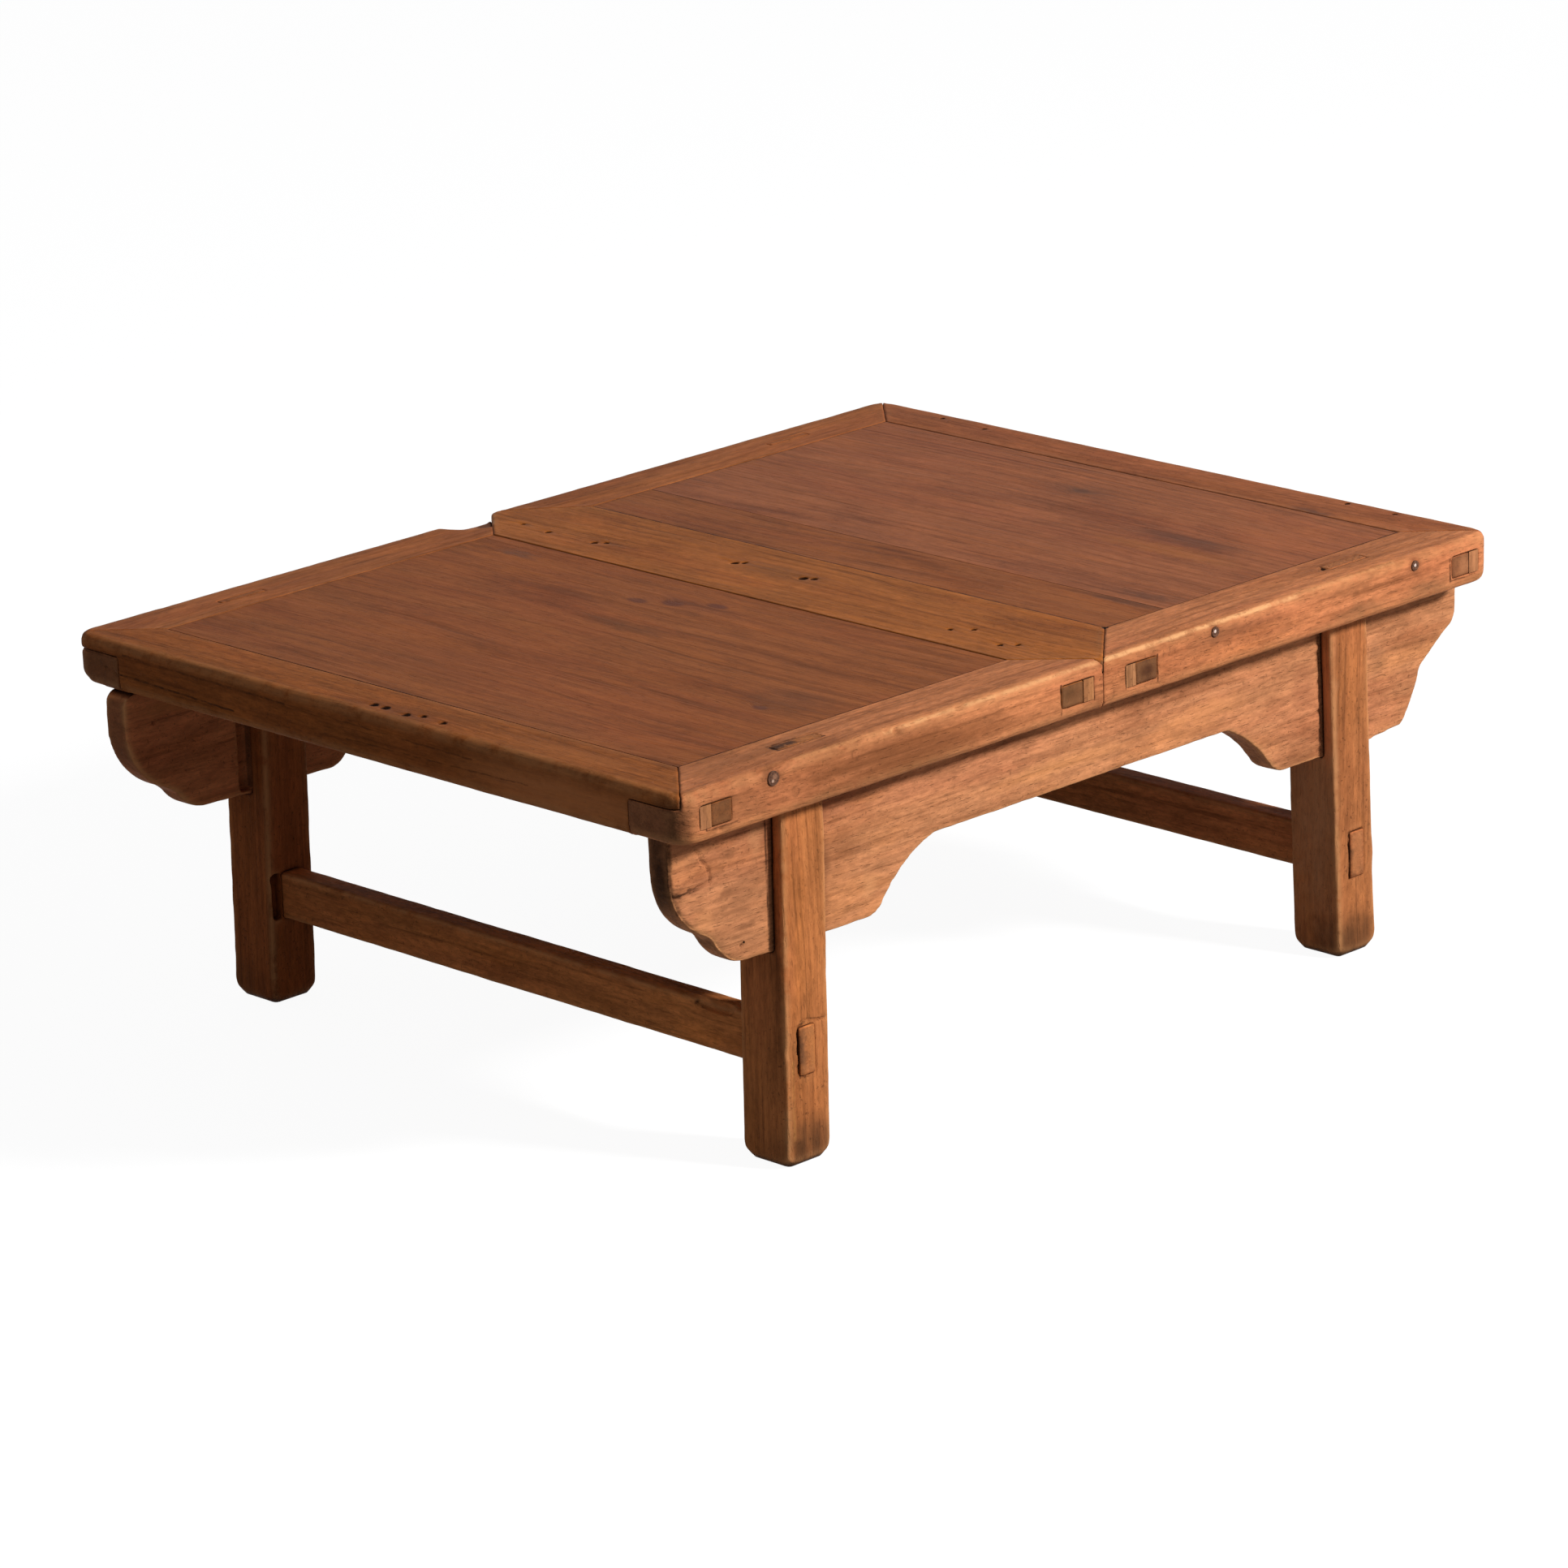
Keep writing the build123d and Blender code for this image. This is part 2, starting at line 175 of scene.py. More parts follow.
    def seen(self):
        """1 for a ray from the camera, also one that a surface mirrors or lets through."""
        path = self.node("LightPath")
        mirrored = self.greater(path.outputs["Is Glossy Ray"], path.outputs["Is Transmission Ray"])
        return self.greater(path.outputs["Is Camera Ray"], mirrored)

    def surface(self, colour, roughness, shine, height, relief):
        """Close the material: one shader, with height as bumps up to relief deep."""
        bump = self.node("Bump", {"Height": height, "Distance": relief})
        shader = self.node("BsdfPrincipled", {
            "Base Color": colour, "Roughness": roughness, "Specular IOR Level": shine,
            "Normal": bump.outputs["Normal"],
        })
        self.node("OutputMaterial", {"Surface": shader.outputs[0]})
        return self.owner


# ------------------------------ wood
# Crevice dirt and painted shade: the colour that ambient occlusion mixes into corners, recesses and the
# places under and between pieces.
CREVICE_DIRT_AND_SHADE = srgb(44, 24, 15)
CRACK_DIRT = srgb(40, 22, 14)
HOLE_DARK = srgb(22, 12, 8)
SPECK_BROWN = srgb(70, 40, 24)
KNOT_BROWN = srgb(96, 54, 42)
END_GRAIN = srgb(104, 72, 50)
GRIME = srgb(150, 108, 84)
RIM_BROWN = srgb(82, 50, 32)
RUBBED_WOOD = srgb(222, 158, 104)
# One year's ring, from the end of the last one: its dark share at each position.
RING_STOPS = ((0, 0.9), (0.1, 0.1), (0.55, 0.15), (0.95, 1))


class Timber(Graph):
    """A material of wood whose grain runs along X, Y or Z.

    knots are (place across and along the grain, size, length in sizes); pith is where the log's heart
    lies, across the grain and through it; ring is the width of a year's ring; both in metres.
    """

    def __init__(self, name, grain, seed, knots, pith, ring):
        super().__init__(bpy.data.materials.new(name))
        self.grain = grain
        coordinates = self.node("TexCoord")
        self.place = coordinates.outputs["Object"]
        self.facing = coordinates.outputs["Normal"]
        x, y, z = self.split(self.place)
        self.along, self.across, self.through = {"X": (x, y, z), "Y": (y, x, z), "Z": (z, x, y)}[grain]
        self.bend = 0
        self.knot_mask = self.wander(knots, seed)
        self.late = self.late_wood(pith, ring, seed)
        self.fibre = self.drawn(430, 10, seed, 4, 0.65)
        self.streak = self.drawn(120, 4.5, seed * 1.7, 4, 0.6)
        self.lines = self.steps(self.drawn(95, 3.2, seed * 2.3, 3, 0.6), 0.58, 0.74)
        self.pore = self.steps(self.drawn(650, 90, seed, 2, 0.55), 0.6, 0.72)
        self.bumps = self.drawn(150, 60, seed, 4, 0.6)
        # Places shifted at random, for marks with torn and with slightly uneven rims.
        rag = self.node("TexNoise", {"Vector": self.place, "Scale": 85, "Detail": 4})
        ragged = self.vector("SUBTRACT", rag.outputs["Color"], (0.5, 0.5, 0.5))
        self.torn = self.vector("ADD", self.place, self.scale(ragged, 0.012))
        self.uneven = self.vector("ADD", self.place, self.scale(ragged, 0.002))

    def drawn(self, fine, long, shift, detail, rough):
        """Noise drawn out along the grain: fine turns in a metre across it, and long ones along it."""
        return self.noise(self.join(
            self.times(self.math("ADD", self.bend, self.across), fine),
            self.times(self.through, fine),
            self.times_plus(self.along, long, shift),
        ), 1, detail, rough)

    def wander(self, knots, seed):
        """Let the grain wander slowly and swing round each knot, and give the knots' mask."""
        slow = self.drawn(5, 2.2, seed, 2, 0.5)
        self.bend = self.times(self.minus(slow, 0.5), 0.05)
        mask = None
        for place, size, length in knots:
            across, along, size = mm(*place, size)
            off_across = self.math("DIVIDE", self.minus(self.across, across), size)
            off_along = self.math("DIVIDE", self.minus(self.along, along), size * length)
            far = self.times(off_along, off_along)
            far = self.times_plus(off_across, off_across, far)
            near = self.math("EXPONENT", self.times(far, -0.5))
            self.bend = self.times_plus(near, 1.5 * size, self.bend)
            mask = near if mask is None else self.greater(mask, near)
        return mask

    def late_wood(self, pith, ring, seed):
        """High in the dark part of each year's ring."""
        u = self.minus(self.math("ADD", self.across, self.bend), pith[0])
        v = self.minus(self.through, pith[1])
        radius = self.math("SQRT", self.times_plus(u, u, self.times(v, v)))
        wobble = self.drawn(60, 5, seed, 2, 0.5)
        turns = self.times_plus(wobble, 1.3, self.math("DIVIDE", radius, ring))
        return self.ramp(self.math("FRACT", turns), [(place, grey(level)) for place, level in RING_STOPS])

    def blend(self, colour, mask, share, tint, blend="MIX"):
        """Mix share of tint into colour where mask is 1."""
        return self.mix(self.times(mask, share), colour, tint, blend)

    def grained(self, light, dark, seed, ring_share, streak_share, red_share, hair_share, dark_share):
        """The bare wood: rings, streaks, red and golden parts, fine hairs and long dark lines."""
        which = self.drawn(35, 2, seed + 3, 1, 0.5)
        ringed = self.times(self.late, self.steps(which, 0.3, 0.7, 0.3, 1))
        tone = self.times(ringed, ring_share)
        tone = self.times_plus(self.steps(self.streak, 0.3, 0.7), streak_share, tone)
        off_mean = self.minus(self.fibre, 0.5)
        tone = self.times_plus(off_mean, 1.3 * streak_share, tone, clamp=True)
        colour = self.mix(tone, light, dark)
        reddish = self.steps(self.drawn(17, 4, seed * 0.9 + 40, 3, 0.55), 0.42, 0.68)
        colour = self.blend(colour, reddish, red_share, tinted(light, 0.92, 0.72, 0.78))
        golden = self.steps(self.drawn(30, 6, seed * 1.1 + 70, 4, 0.6), 0.5, 0.7)
        colour = self.blend(colour, golden, 0.4, tinted(light, 1.1, 1.02, 0.8))
        hair = self.drawn(300, 7, seed * 3.1, 3, 0.6)
        colour = self.mix(self.steps(hair, 0.54, 0.7, 0, hair_share), colour, tinted(dark, 0.62))
        colour = self.mix(self.steps(hair, 0.46, 0.3, 0, 0.7 * hair_share), colour, tinted(light, 1.15))
        return self.blend(colour, self.lines, dark_share, tinted(dark, 0.5))

    def soiled(self, colour, dark, seed, grime_share, speck_share, mottle):
        """Grime, open pores, specks, and a mottle that goes lighter and darker."""
        patch = self.drawn(13, 5, seed * 0.6, 5, 0.6)
        colour = self.blend(colour, self.steps(patch, 0.5, 0.72), grime_share, GRIME, "MULTIPLY")
        colour = self.blend(colour, self.pore, 0.22, tinted(dark, 0.4))
        speck = self.steps(self.noise(self.place, 330, 2, 0.6), 0.61, 0.7)
        speck = self.times(speck, self.steps(patch, 0.35, 0.6))
        colour = self.blend(colour, speck, speck_share, SPECK_BROWN)
        cloud = self.drawn(75, 16, seed * 1.3, 5, 0.7)
        cloud = self.steps(cloud, 0.3, 0.7, 1 - mottle, 1 + 0.6 * mottle)
        grit = self.drawn(300, 110, seed, 3, 0.7)
        grit = self.steps(grit, 0.3, 0.7, 1 - 0.7 * mottle, 1 + 0.5 * mottle)
        colour = self.scale(colour, self.times(cloud, grit))
        if self.knot_mask is None:
            return colour
        core, uneven = self.steps(self.knot_mask, 0.55, 0.9), self.steps(self.fibre, 0.25, 0.6, 0.5, 0.9)
        return self.blend(colour, core, uneven, KNOT_BROWN)

    def end_grain(self, colour, share):
        """Faces cut across the fibres are darker and greyer."""
        facing = dict(zip("XYZ", self.split(self.facing)))[self.grain]
        return self.blend(colour, self.steps(self.math("ABSOLUTE", facing), 0.72, 0.92), share, END_GRAIN)

    def stained(self, colour, stains, rims, border):
        """Stains, faint rings, and a line of dirt round the border box."""
        for centre, radii, tint, share in stains:
            mask = self.blob(self.torn, mm(*centre), mm(*radii), 0.2, 1.2)
            mask = self.times(mask, self.steps(self.streak, 0.2, 0.65, 0.55, 1))
            colour = self.blend(colour, mask, share, srgb(*tint))
        for centre, size in rims:
            outside = self.blob(self.place, mm(*centre), mm(size) * 3, 0.85, 1.2)
            inside = self.blob(self.place, mm(*centre), mm(0.72 * size) * 3, 0.8, 1.1)
            faint = self.steps(self.noise(self.place, 160), 0.35, 0.6, 0, 0.4)
            colour = self.blend(colour, self.minus(outside, inside), faint, RIM_BROWN)
        if border:
            low, high = border
            outside = self.minus(1, self.box(self.uneven, mm(*low), mm(*high), 0.0007))
            broken = self.steps(self.noise(self.place, 9, 4, 0.65), 0.42, 0.58, 0, 0.85)
            colour = self.blend(colour, outside, broken, CRACK_DIRT)
        return colour

    def handled(self, colour, strokes):
        """Rounded arrises are rubbed lighter, strokes are broken lines, and corners and recesses are
        darkened with dirt and painted shade.
        """
        rubbed = self.node("Attribute", attribute_name="worn").outputs["Fac"]
        patchy = self.steps(self.noise(self.place, 38, 5, 0.7), 0.3, 0.55)
        rubbed = self.times(rubbed, patchy)
        colour = self.blend(colour, rubbed, 0.85, RUBBED_WOOD)
        broken = self.steps(self.noise(self.place, 110, 4, 0.7), 0.36, 0.56, 0.3, 1)
        for start, end, width, tint, share in strokes:
            line = self.stroke(self.uneven, mm(*start), mm(*end), width / 1000)
            colour = self.blend(colour, self.times(line, broken), share, srgb(*tint))
        # Painted shade and dirt where ambient occlusion finds corners, recesses and the places under and
        # between pieces.
        occlusion = self.node("AmbientOcclusion", {"Distance": 0.009}, samples=5).outputs["AO"]
        return self.mix(self.steps(occlusion, 0.82, 0.3, 0, 0.9), colour, CREVICE_DIRT_AND_SHADE)

    def bored(self, colour, holes):
        """Worm and nail holes: the colour with them, and their mask."""
        dip = None
        for centre, size in holes:
            mask = self.blob(self.place, mm(*centre), mm(size) * 3, 0.7, 1.05)
            colour = self.blend(colour, mask, 0.95, HOLE_DARK)
            dip = mask if dip is None else self.greater(dip, mask)
        return colour, dip

    def height(self, dip):
        """The fine relief: fibres up, and late wood, pores, lines and holes down."""
        height = self.times_plus(self.fibre, 0.55, self.times(self.late, -0.2))
        height = self.times_plus(self.pore, -0.5, height)
        height = self.times_plus(self.lines, -0.35, height)
        height = self.times_plus(self.bumps, 0.5, height)
        return height if dip is None else self.times_plus(dip, -3, height)


def wood(name, grain, light, dark, seed, *, pith=(0, -0.08), ring=0.006, ring_share=0.3,
         streak_share=0.35, dark_share=0.45, red_share=0.35, grime_share=0.4, speck_share=0.4,
         hair_share=0.45, end_share=0.6, mottle=0.2, roughness=0.6, relief=0.0004,
         knots=(), stains=(), holes=(), rims=(), strokes=(), border=None):
    """Aged wood between a light and a dark colour. The last line's are marks at places on the table.

    Sizes of marks are in millimetres, and all colours given are 8-bit sRGB.
    """
    timber = Timber("wood_" + name, grain, seed, knots, pith, ring)
    light, dark = srgb(*light), srgb(*dark)
    colour = timber.grained(light, dark, seed, ring_share, streak_share, red_share, hair_share, dark_share)
    colour = timber.soiled(colour, dark, seed, grime_share, speck_share, mottle)
    colour = timber.end_grain(colour, end_share)
    colour = timber.stained(colour, stains, rims, border)
    colour = timber.handled(colour, strokes)
    colour, dip = timber.bored(colour, holes)
    uneven = timber.times_plus(timber.fibre, 0.2, roughness - 0.1)
    return timber.surface(colour, uneven, 0.03, timber.height(dip), relief)


def iron(glints):
    """Rusty nails, with spots painted lighter on the heads as painted highlights; the argument lists their
    places, radii and colours.
    """
    graph = Graph(bpy.data.materials.new("rusty_iron"))
    place = graph.node("TexCoord").outputs["Object"]
    spots = graph.noise(place, 700, 4, 0.6)
    rust = (0.35, srgb(58, 36, 26)), (0.55, srgb(100, 64, 44)), (0.7, srgb(132, 92, 68))
    colour = graph.ramp(spots, rust)
    # Painted highlights on the nail heads.
    for centre, radius, tint in glints:
        mask = graph.blob(place, mm(*centre), mm(radius) * 3, 0.6, 1.3)
        mask = graph.times(mask, graph.steps(spots, 0.3, 0.55, 0.5, 1))
        colour = graph.mix(mask, colour, srgb(*tint))
    return graph.surface(colour, graph.steps(spots, 0.3, 0.7, 0.6, 0.4), 0.15, spots, 0.0003)


# ------------------------------ wear on the wood
VOXEL = 0.0015          # cells that a worn piece is cut into
NEIGHBOUR = 0.003       # pieces whose boxes come this near may touch
TOUCH = 0.0024          # an arris this near another piece meets it
ARRIS = 0.00012         # a point that stands this far out of the smoothed surface is on an arris
SHARP = 0.0011          # and one this far out is on a sharp one
LATTICE = 48            # the random lattice behind swell
TREES = {
    name: BVHTree.FromPolygons([v.co for v in o.data.vertices], [p.vertices for p in o.data.polygons])
    for name, o in NODES.items()
}


def swell(points, size, seed):
    """Smooth numbers from -1 to 1 that vary over about size metres."""
    lattice = np.random.default_rng(seed).uniform(-1, 1, (LATTICE,) * 3)
    scaled = points / np.asarray(size) + 1000.0
    cell = np.floor(scaled).astype(int)
    part = scaled - cell
    part = part * part * (3 - 2 * part)
    total = np.zeros(len(points))
    for corner in np.ndindex(2, 2, 2):
        share = np.ones(len(points))
        for axis in range(3):
            share = share * (part[:, axis] if corner[axis] else 1 - part[:, axis])
        index = (cell + corner) % LATTICE
        total += share * lattice[index[:, 0], index[:, 1], index[:, 2]]
    return total


def to_line(points, line):
    """Distance of each point to a run of straight pieces."""
    best = np.full(len(points), 1e9)
    for start, end in zip(line, line[1:]):
        start, end = np.array(start), np.array(end)
        way = end - start
        share = np.clip(((points - start) @ way) / (way @ way), 0, 1)
        best = np.minimum(best, np.linalg.norm(points - start - share[:, None] * way, axis=1))
    return best


def below(values, edge, width):
    """1 where a value is width or more below edge, falling to 0 at it."""
    return np.clip((edge - values) / width, 0, 1)


def above(values, edge, width):
    """1 where a value is width or more above edge, falling to 0 at it."""
    return np.clip((values - edge) / width, 0, 1)


def add(name, data):
    """Put a new object with this data into the scene."""
    made = bpy.data.objects.new(name, data)
    bpy.context.scene.collection.objects.link(made)
    return made


def result(work):
    """A new mesh: the piece with its modifiers done."""
    return bpy.data.meshes.new_from_object(work.evaluated_get(bpy.context.evaluated_depsgraph_get()))


def beside(one, two):
    """Whether two boxes overlap or lie within NEIGHBOUR of each other."""
    return all(one[0][k] < two[1][k] + NEIGHBOUR and one[1][k] > two[0][k] - NEIGHBOUR for k in range(3))


class Skin:
    """A piece's surface cut into small cells, as arrays."""

    def __init__(self, work):
        work.modifiers.new("weld", "WELD").merge_threshold = 1e-5
        remesh = work.modifiers.new("remesh", "REMESH")
        remesh.mode = "VOXEL"
        remesh.voxel_size = VOXEL
        self.mesh = result(work)
        count = len(self.mesh.vertices)
        flat = np.empty(count * 3, np.float32)
        self.mesh.vertices.foreach_get("co", flat)
        self.points = flat.reshape(-1, 3).astype(float)
        self.mesh.vertex_normals.foreach_get("vector", flat)
        self.normals = flat.reshape(-1, 3).astype(float)
        pairs = np.empty(len(self.mesh.edges) * 2, np.int32)
        self.mesh.edges.foreach_get("vertices", pairs)
        self.one, self.two = pairs.reshape(-1, 2).T
        self.degree = np.bincount(self.one, minlength=count) + np.bincount(self.two, minlength=count)

    def mean(self, values):
        """Each point's mean over its neighbours."""
        if values.ndim > 1:
            return np.stack([self.mean(column) for column in values.T], axis=1)
        total = np.bincount(self.one, values[self.two], len(values))
        total = total + np.bincount(self.two, values[self.one], len(values))
        return total / self.degree

    def relaxed(self, points, share, rounds):
        """Points drawn towards the mean of their neighbours."""
        for _ in range(rounds):
            points = points + share * (self.mean(points) - points)
        return points

    def meeting(self, node, lift):
        """1 on the arrises that meet another piece, fading to 0 beside them."""
        near = [TREES[other] for other in BOXES if other != node and beside(BOXES[node], BOXES[other])]
        joint = np.zeros(len(lift))
        for index in np.nonzero(lift > ARRIS)[0]:
            place = Vector(self.points[index])
            joint[index] = any(tree.find_nearest(place, TOUCH)[0] is not None for tree in near)
        for _ in range(2):
            joint = np.maximum(joint, self.mean(joint))
        return np.clip(joint, 0, 1)

    def write(self, points, worn):
        """Put the points and the material's worn values back into the mesh."""
        self.mesh.vertices.foreach_set("co", points.astype(np.float32).ravel())
        layer = self.mesh.attributes.new("worn", "FLOAT", "POINT")
        layer.data.foreach_set("value", worn.astype(np.float32))
        self.mesh.update()


def weathering(points, rubbed, free, grain, seed, wear, relief):
    """How deep wear has gone: most on rubbed arrises, and in waves drawn out along the grain."""
    long = np.array([0.11 if axis == grain else 0.013 for axis in "XYZ"])
    fine = np.array([0.05 if axis == grain else 0.0045 for axis in "XYZ"])
    uneven = 0.6 + 0.8 * swell(points, 0.021, seed) + 0.5 * swell(points, 0.008, seed + 1)
    depth = wear * rubbed * uneven
    depth += relief * (1 + swell(points, long, seed + 2)) * free
    depth += 0.6 * relief * (1 + swell(points, fine, seed + 3)) * free
    return depth * above(points[:, 2], 0, 0.004)


def dent(points, centre, radii, depth):
    """The depth of a rounded dent at each point."""
    away = np.linalg.norm((points - centre) / np.asarray(radii), axis=1)
    return depth * np.clip(1 - away ** 2, 0, 1) ** 1.3


def groove(points, line, width, depth, seed):
    """The depth of a crack that wanders a little off its line."""
    wander = points + 0.0012 * np.stack([swell(points, 0.007, seed + 5 + k) for k in range(3)], axis=1)
    return depth * np.clip(1 - to_line(wander, line) / width, 0, 1)


def clad(mesh, material):
    mesh.materials.clear()
    mesh.materials.append(material)


def dress(node, material):
    clad(NODES[node].data, material)


def stand_in(work, node):
    """Let a piece of the scene stand for a CAD node."""
    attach(work, "root")
    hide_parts(node)


def aged(node, material, grain, seed, rounding=5, wear=0.0007, relief=0.00015, keep=0.2,
         soft=(), dents=(), grooves=(), reshape=None):
    """A worn piece that stands for a CAD node: arrises softened, faces uneven, dents and cracks sunk in.

    keep is the share of the triangles that stays. soft holds a centre, a radius and rounds of extra
    rounding; dents a centre, radii and a depth; grooves points, half a width and a depth; all in
    millimetres. wear and relief are in metres. reshape moves the points by itself.
    """
    work = add(node + "_worn", NODES[node].data.copy())
    skin = Skin(work)
    points = skin.points
    lift = ((points - skin.relaxed(points, 0.5, 14)) * skin.normals).sum(1)
    joint = skin.meeting(node, lift)
    free = 1 - 0.85 * joint

    points = skin.relaxed(points, 0.5 * free[:, None], rounding)
    for centre, radius, rounds in soft:
        away = np.linalg.norm(points - mm(*centre), axis=1)
        share = np.clip(1.6 - 1.6 * away / (radius / 1000), 0, 1) * free
        points = skin.relaxed(points, 0.5 * share[:, None], rounds)

    rubbed = np.clip(lift / SHARP, 0, 1) * (1 - joint)
    for _ in range(2):
        rubbed = 0.5 * rubbed + 0.5 * skin.mean(rubbed)
    sink = weathering(points, rubbed, free, grain, seed, wear, relief)
    for centre, radii, depth in dents:
        sink += dent(points, mm(*centre), mm(*radii), depth / 1000)
    for line, width, depth in grooves:
        sink += groove(points, [mm(*place) for place in line], width / 1000, depth / 1000, seed)
    points = points - skin.normals * sink[:, None]
    if reshape:
        points = reshape(points, skin.normals)
    skin.write(points, rubbed)

    work.modifiers.clear()
    work.data = skin.mesh
    work.modifiers.new("thin", "DECIMATE").ratio = keep
    final = result(work)
    final.name = node + "_worn"
    clad(final, material)
    final.shade_smooth()
    work.modifiers.clear()
    work.data = final
    stand_in(work, node)


def leaning(node, material, edge, shift):
    """A copy of a board whose side face leans over to its neighbour, so that no light passes the seam."""
    mesh = NODES[node].data.copy()
    edge, shift = mm(edge, shift)
    near = 1e-4
    top = max(vertex.co.z for vertex in mesh.vertices)
    for vertex in mesh.vertices:
        if abs(vertex.co.x - edge) < near and vertex.co.z < top - near:
            vertex.co.x += shift
    clad(mesh, material)
    stand_in(add(node + "_leaning", mesh), node)


# ------------------------------ the pieces
# Marks are in millimetres, and colours are 8-bit sRGB.
def face(node, end, axis):
    """A side of a node's box in millimetres; end is 0 for the low one and 1 for the high one."""
    return round(BOXES[node][end][axis] * 1000, 1)


def lines_on(y, *rows):
    """Strokes on a front face: x and z of both ends, and the rest."""
    return tuple(((x, y, z), (end_x, y, end_z), *rest) for x, z, end_x, end_z, *rest in rows)


def spots_on(y, depth, *rows):
    """Stains on a front face: x, z, both radii, and the rest."""
    return tuple(((x, y, z), (wide, depth, high), *rest) for x, z, wide, high, *rest in rows)


# The faces that marks lie on
TOP_Z = face("end_rail_left", 1, 2)
END_X = face("end_rail_left", 0, 0)
RAIL_Y = face("front_rail_left", 0, 1)
APRON_Y = face("front_apron", 0, 1)
LEG_Y = face("front_left_leg", 0, 1)

# Each wood's light and dark colour
PANEL = (156, 90, 48), (112, 60, 31)
WIDE_PANEL = (164, 96, 58), (120, 66, 40)
BOARD = (172, 101, 48), (126, 69, 31)
RAIL = (205, 130, 85), (158, 93, 55)
BACK_RAIL = (176, 106, 62), (124, 70, 38)
LEFT_END = (160, 92, 44), (112, 60, 27)
RIGHT_END = (170, 100, 62), (118, 66, 42)
APRON = (206, 139, 95), (164, 101, 64)
BACK_APRON = (218, 134, 86), (156, 92, 54)
NEAR_LEG = (199, 124, 72), (149, 88, 49)
RIGHT_LEG = (186, 116, 70), (136, 80, 48)
BACK_LEFT_LEG = (172, 98, 52), (118, 62, 32)
BACK_RIGHT_LEG = (184, 108, 60), (130, 72, 38)
LEFT_STRETCHER = (222, 138, 78), (160, 94, 50)
RIGHT_STRETCHER = (208, 128, 76), (150, 87, 49)
WEDGES = (182, 126, 84), (128, 84, 54)

# Dark lines at seams and round tenons
SEAM, GAP = (50, 28, 18), (60, 36, 22)

# ------------------------------ the two panels
PANEL_GRAIN = {"speck_share": 0.25, "hair_share": 0.35, "mottle": 0.15, "streak_share": 0.45}
GROOVE_Y = 284.6        # where the panels go into the long rails
dress("left_panel", wood(
    "left_panel", "Y", *PANEL, 3, pith=(-0.2, 0.1), ring=0.0065, roughness=0.56, **PANEL_GRAIN,
    border=((-397.6, -GROOVE_Y, 0), (-55.9, GROOVE_Y, 400)),
    knots=(((-104, 26), 7.5, 1.7), ((-115, 54), 6, 2), ((-88, -8), 6, 2.2), ((-258, -227), 5, 1.8)),
    stains=(
        ((-80, 228, 325), (8, 24, 8), (88, 68, 60), 0.5),
        ((-170, 10, 325), (16, 60, 8), (82, 52, 32), 0.45),
        ((-100, 15, 325), (16, 75, 8), (104, 58, 40), 0.4),
        ((-230, -230, 325), (40, 45, 8), (98, 60, 40), 0.4),
        ((-330, 60, 325), (50, 90, 8), (120, 68, 36), 0.3),
    ),
))
# At the meeting of the centre board, the right panel and the front rail.
CORNER_HOLE = (54.5, -286, 325.4), 3
# The narrow board's side at the seam, and how far it leans to the wide board.
SEAM_X, SEAM_LEAN = 121.5, 0.46
leaning("right_panel_narrow_board", wood(
    "narrow_board", "Y", *PANEL, 11, pith=(0.3, 0.1), ring=0.007, roughness=0.54, **PANEL_GRAIN,
    border=((55.9, -GROOVE_Y, 0), (121.4, GROOVE_Y, 400)),
    holes=(CORNER_HOLE,),
    strokes=(((56.0, -284, TOP_Z), (56.0, 284, TOP_Z), 1.7, SEAM, 0.85),),
    stains=(((118, -245, 325), (8, 60, 8), (66, 42, 32), 0.6),),
), SEAM_X, SEAM_LEAN)
dress("right_panel_wide_board", wood(
    "wide_board", "Y", *WIDE_PANEL, 18, pith=(0.05, 0.1), ring=0.007, roughness=0.52, **PANEL_GRAIN,
    border=((122.3, -GROOVE_Y, 0), (397.6, GROOVE_Y, 400)),
    knots=(((336, 0), 6, 1.6),),
    stains=(
        ((336, 0, 325), (10, 16, 8), (84, 62, 44), 0.55),
        ((336, 0, 325), (26, 48, 8), (108, 66, 46), 0.45),
        ((278, -165, 325), (14, 75, 8), (86, 56, 44), 0.5),
        ((246, -180, 325), (14, 95, 8), (192, 116, 58), 0.4),
        ((140, -250, 325), (9, 45, 8), (70, 46, 36), 0.55),
    ),
))

# ------------------------------ centre board
# Its holes, as x, y and radius.
BOARD_HOLES = ((-29, -254.5, 2.5), (-20, -265, 2.1), (-22, 256, 2.6), (-21, 203, 2.8), (-15, 195, 2.3),
               (-18, 290, 2.1), (7, 70, 3.3), (12, 64, 2.6), (9, -5, 3.9), (13, -13, 3.0), (-22, -195, 2.3),
               (-11, -210, 2.1))
material = wood(
    "centre_board", "Y", *BOARD, 31, pith=(0.15, 0.2), ring=0.008, end_share=0.8, roughness=0.56,
    holes=tuple(((x, y, 324.2), r + 0.5) for x, y, r in BOARD_HOLES) + (CORNER_HOLE,),
    stains=(((8, 20, TOP_Z), (20, 60, 8), (104, 66, 40), 0.45),
            ((42, RAIL_Y, 304), (13, 8, 12), (62, 34, 24), 0.75),
            ((-45, RAIL_Y, 308), (9, 8, 7), (84, 56, 34), 0.6)),
)
aged(
    "centre_board", material, "Y", 31, rounding=2,
    dents=tuple(((x, y, TOP_Z), (r + 0.6,) * 3, 3.5) for x, y, r in BOARD_HOLES),
)

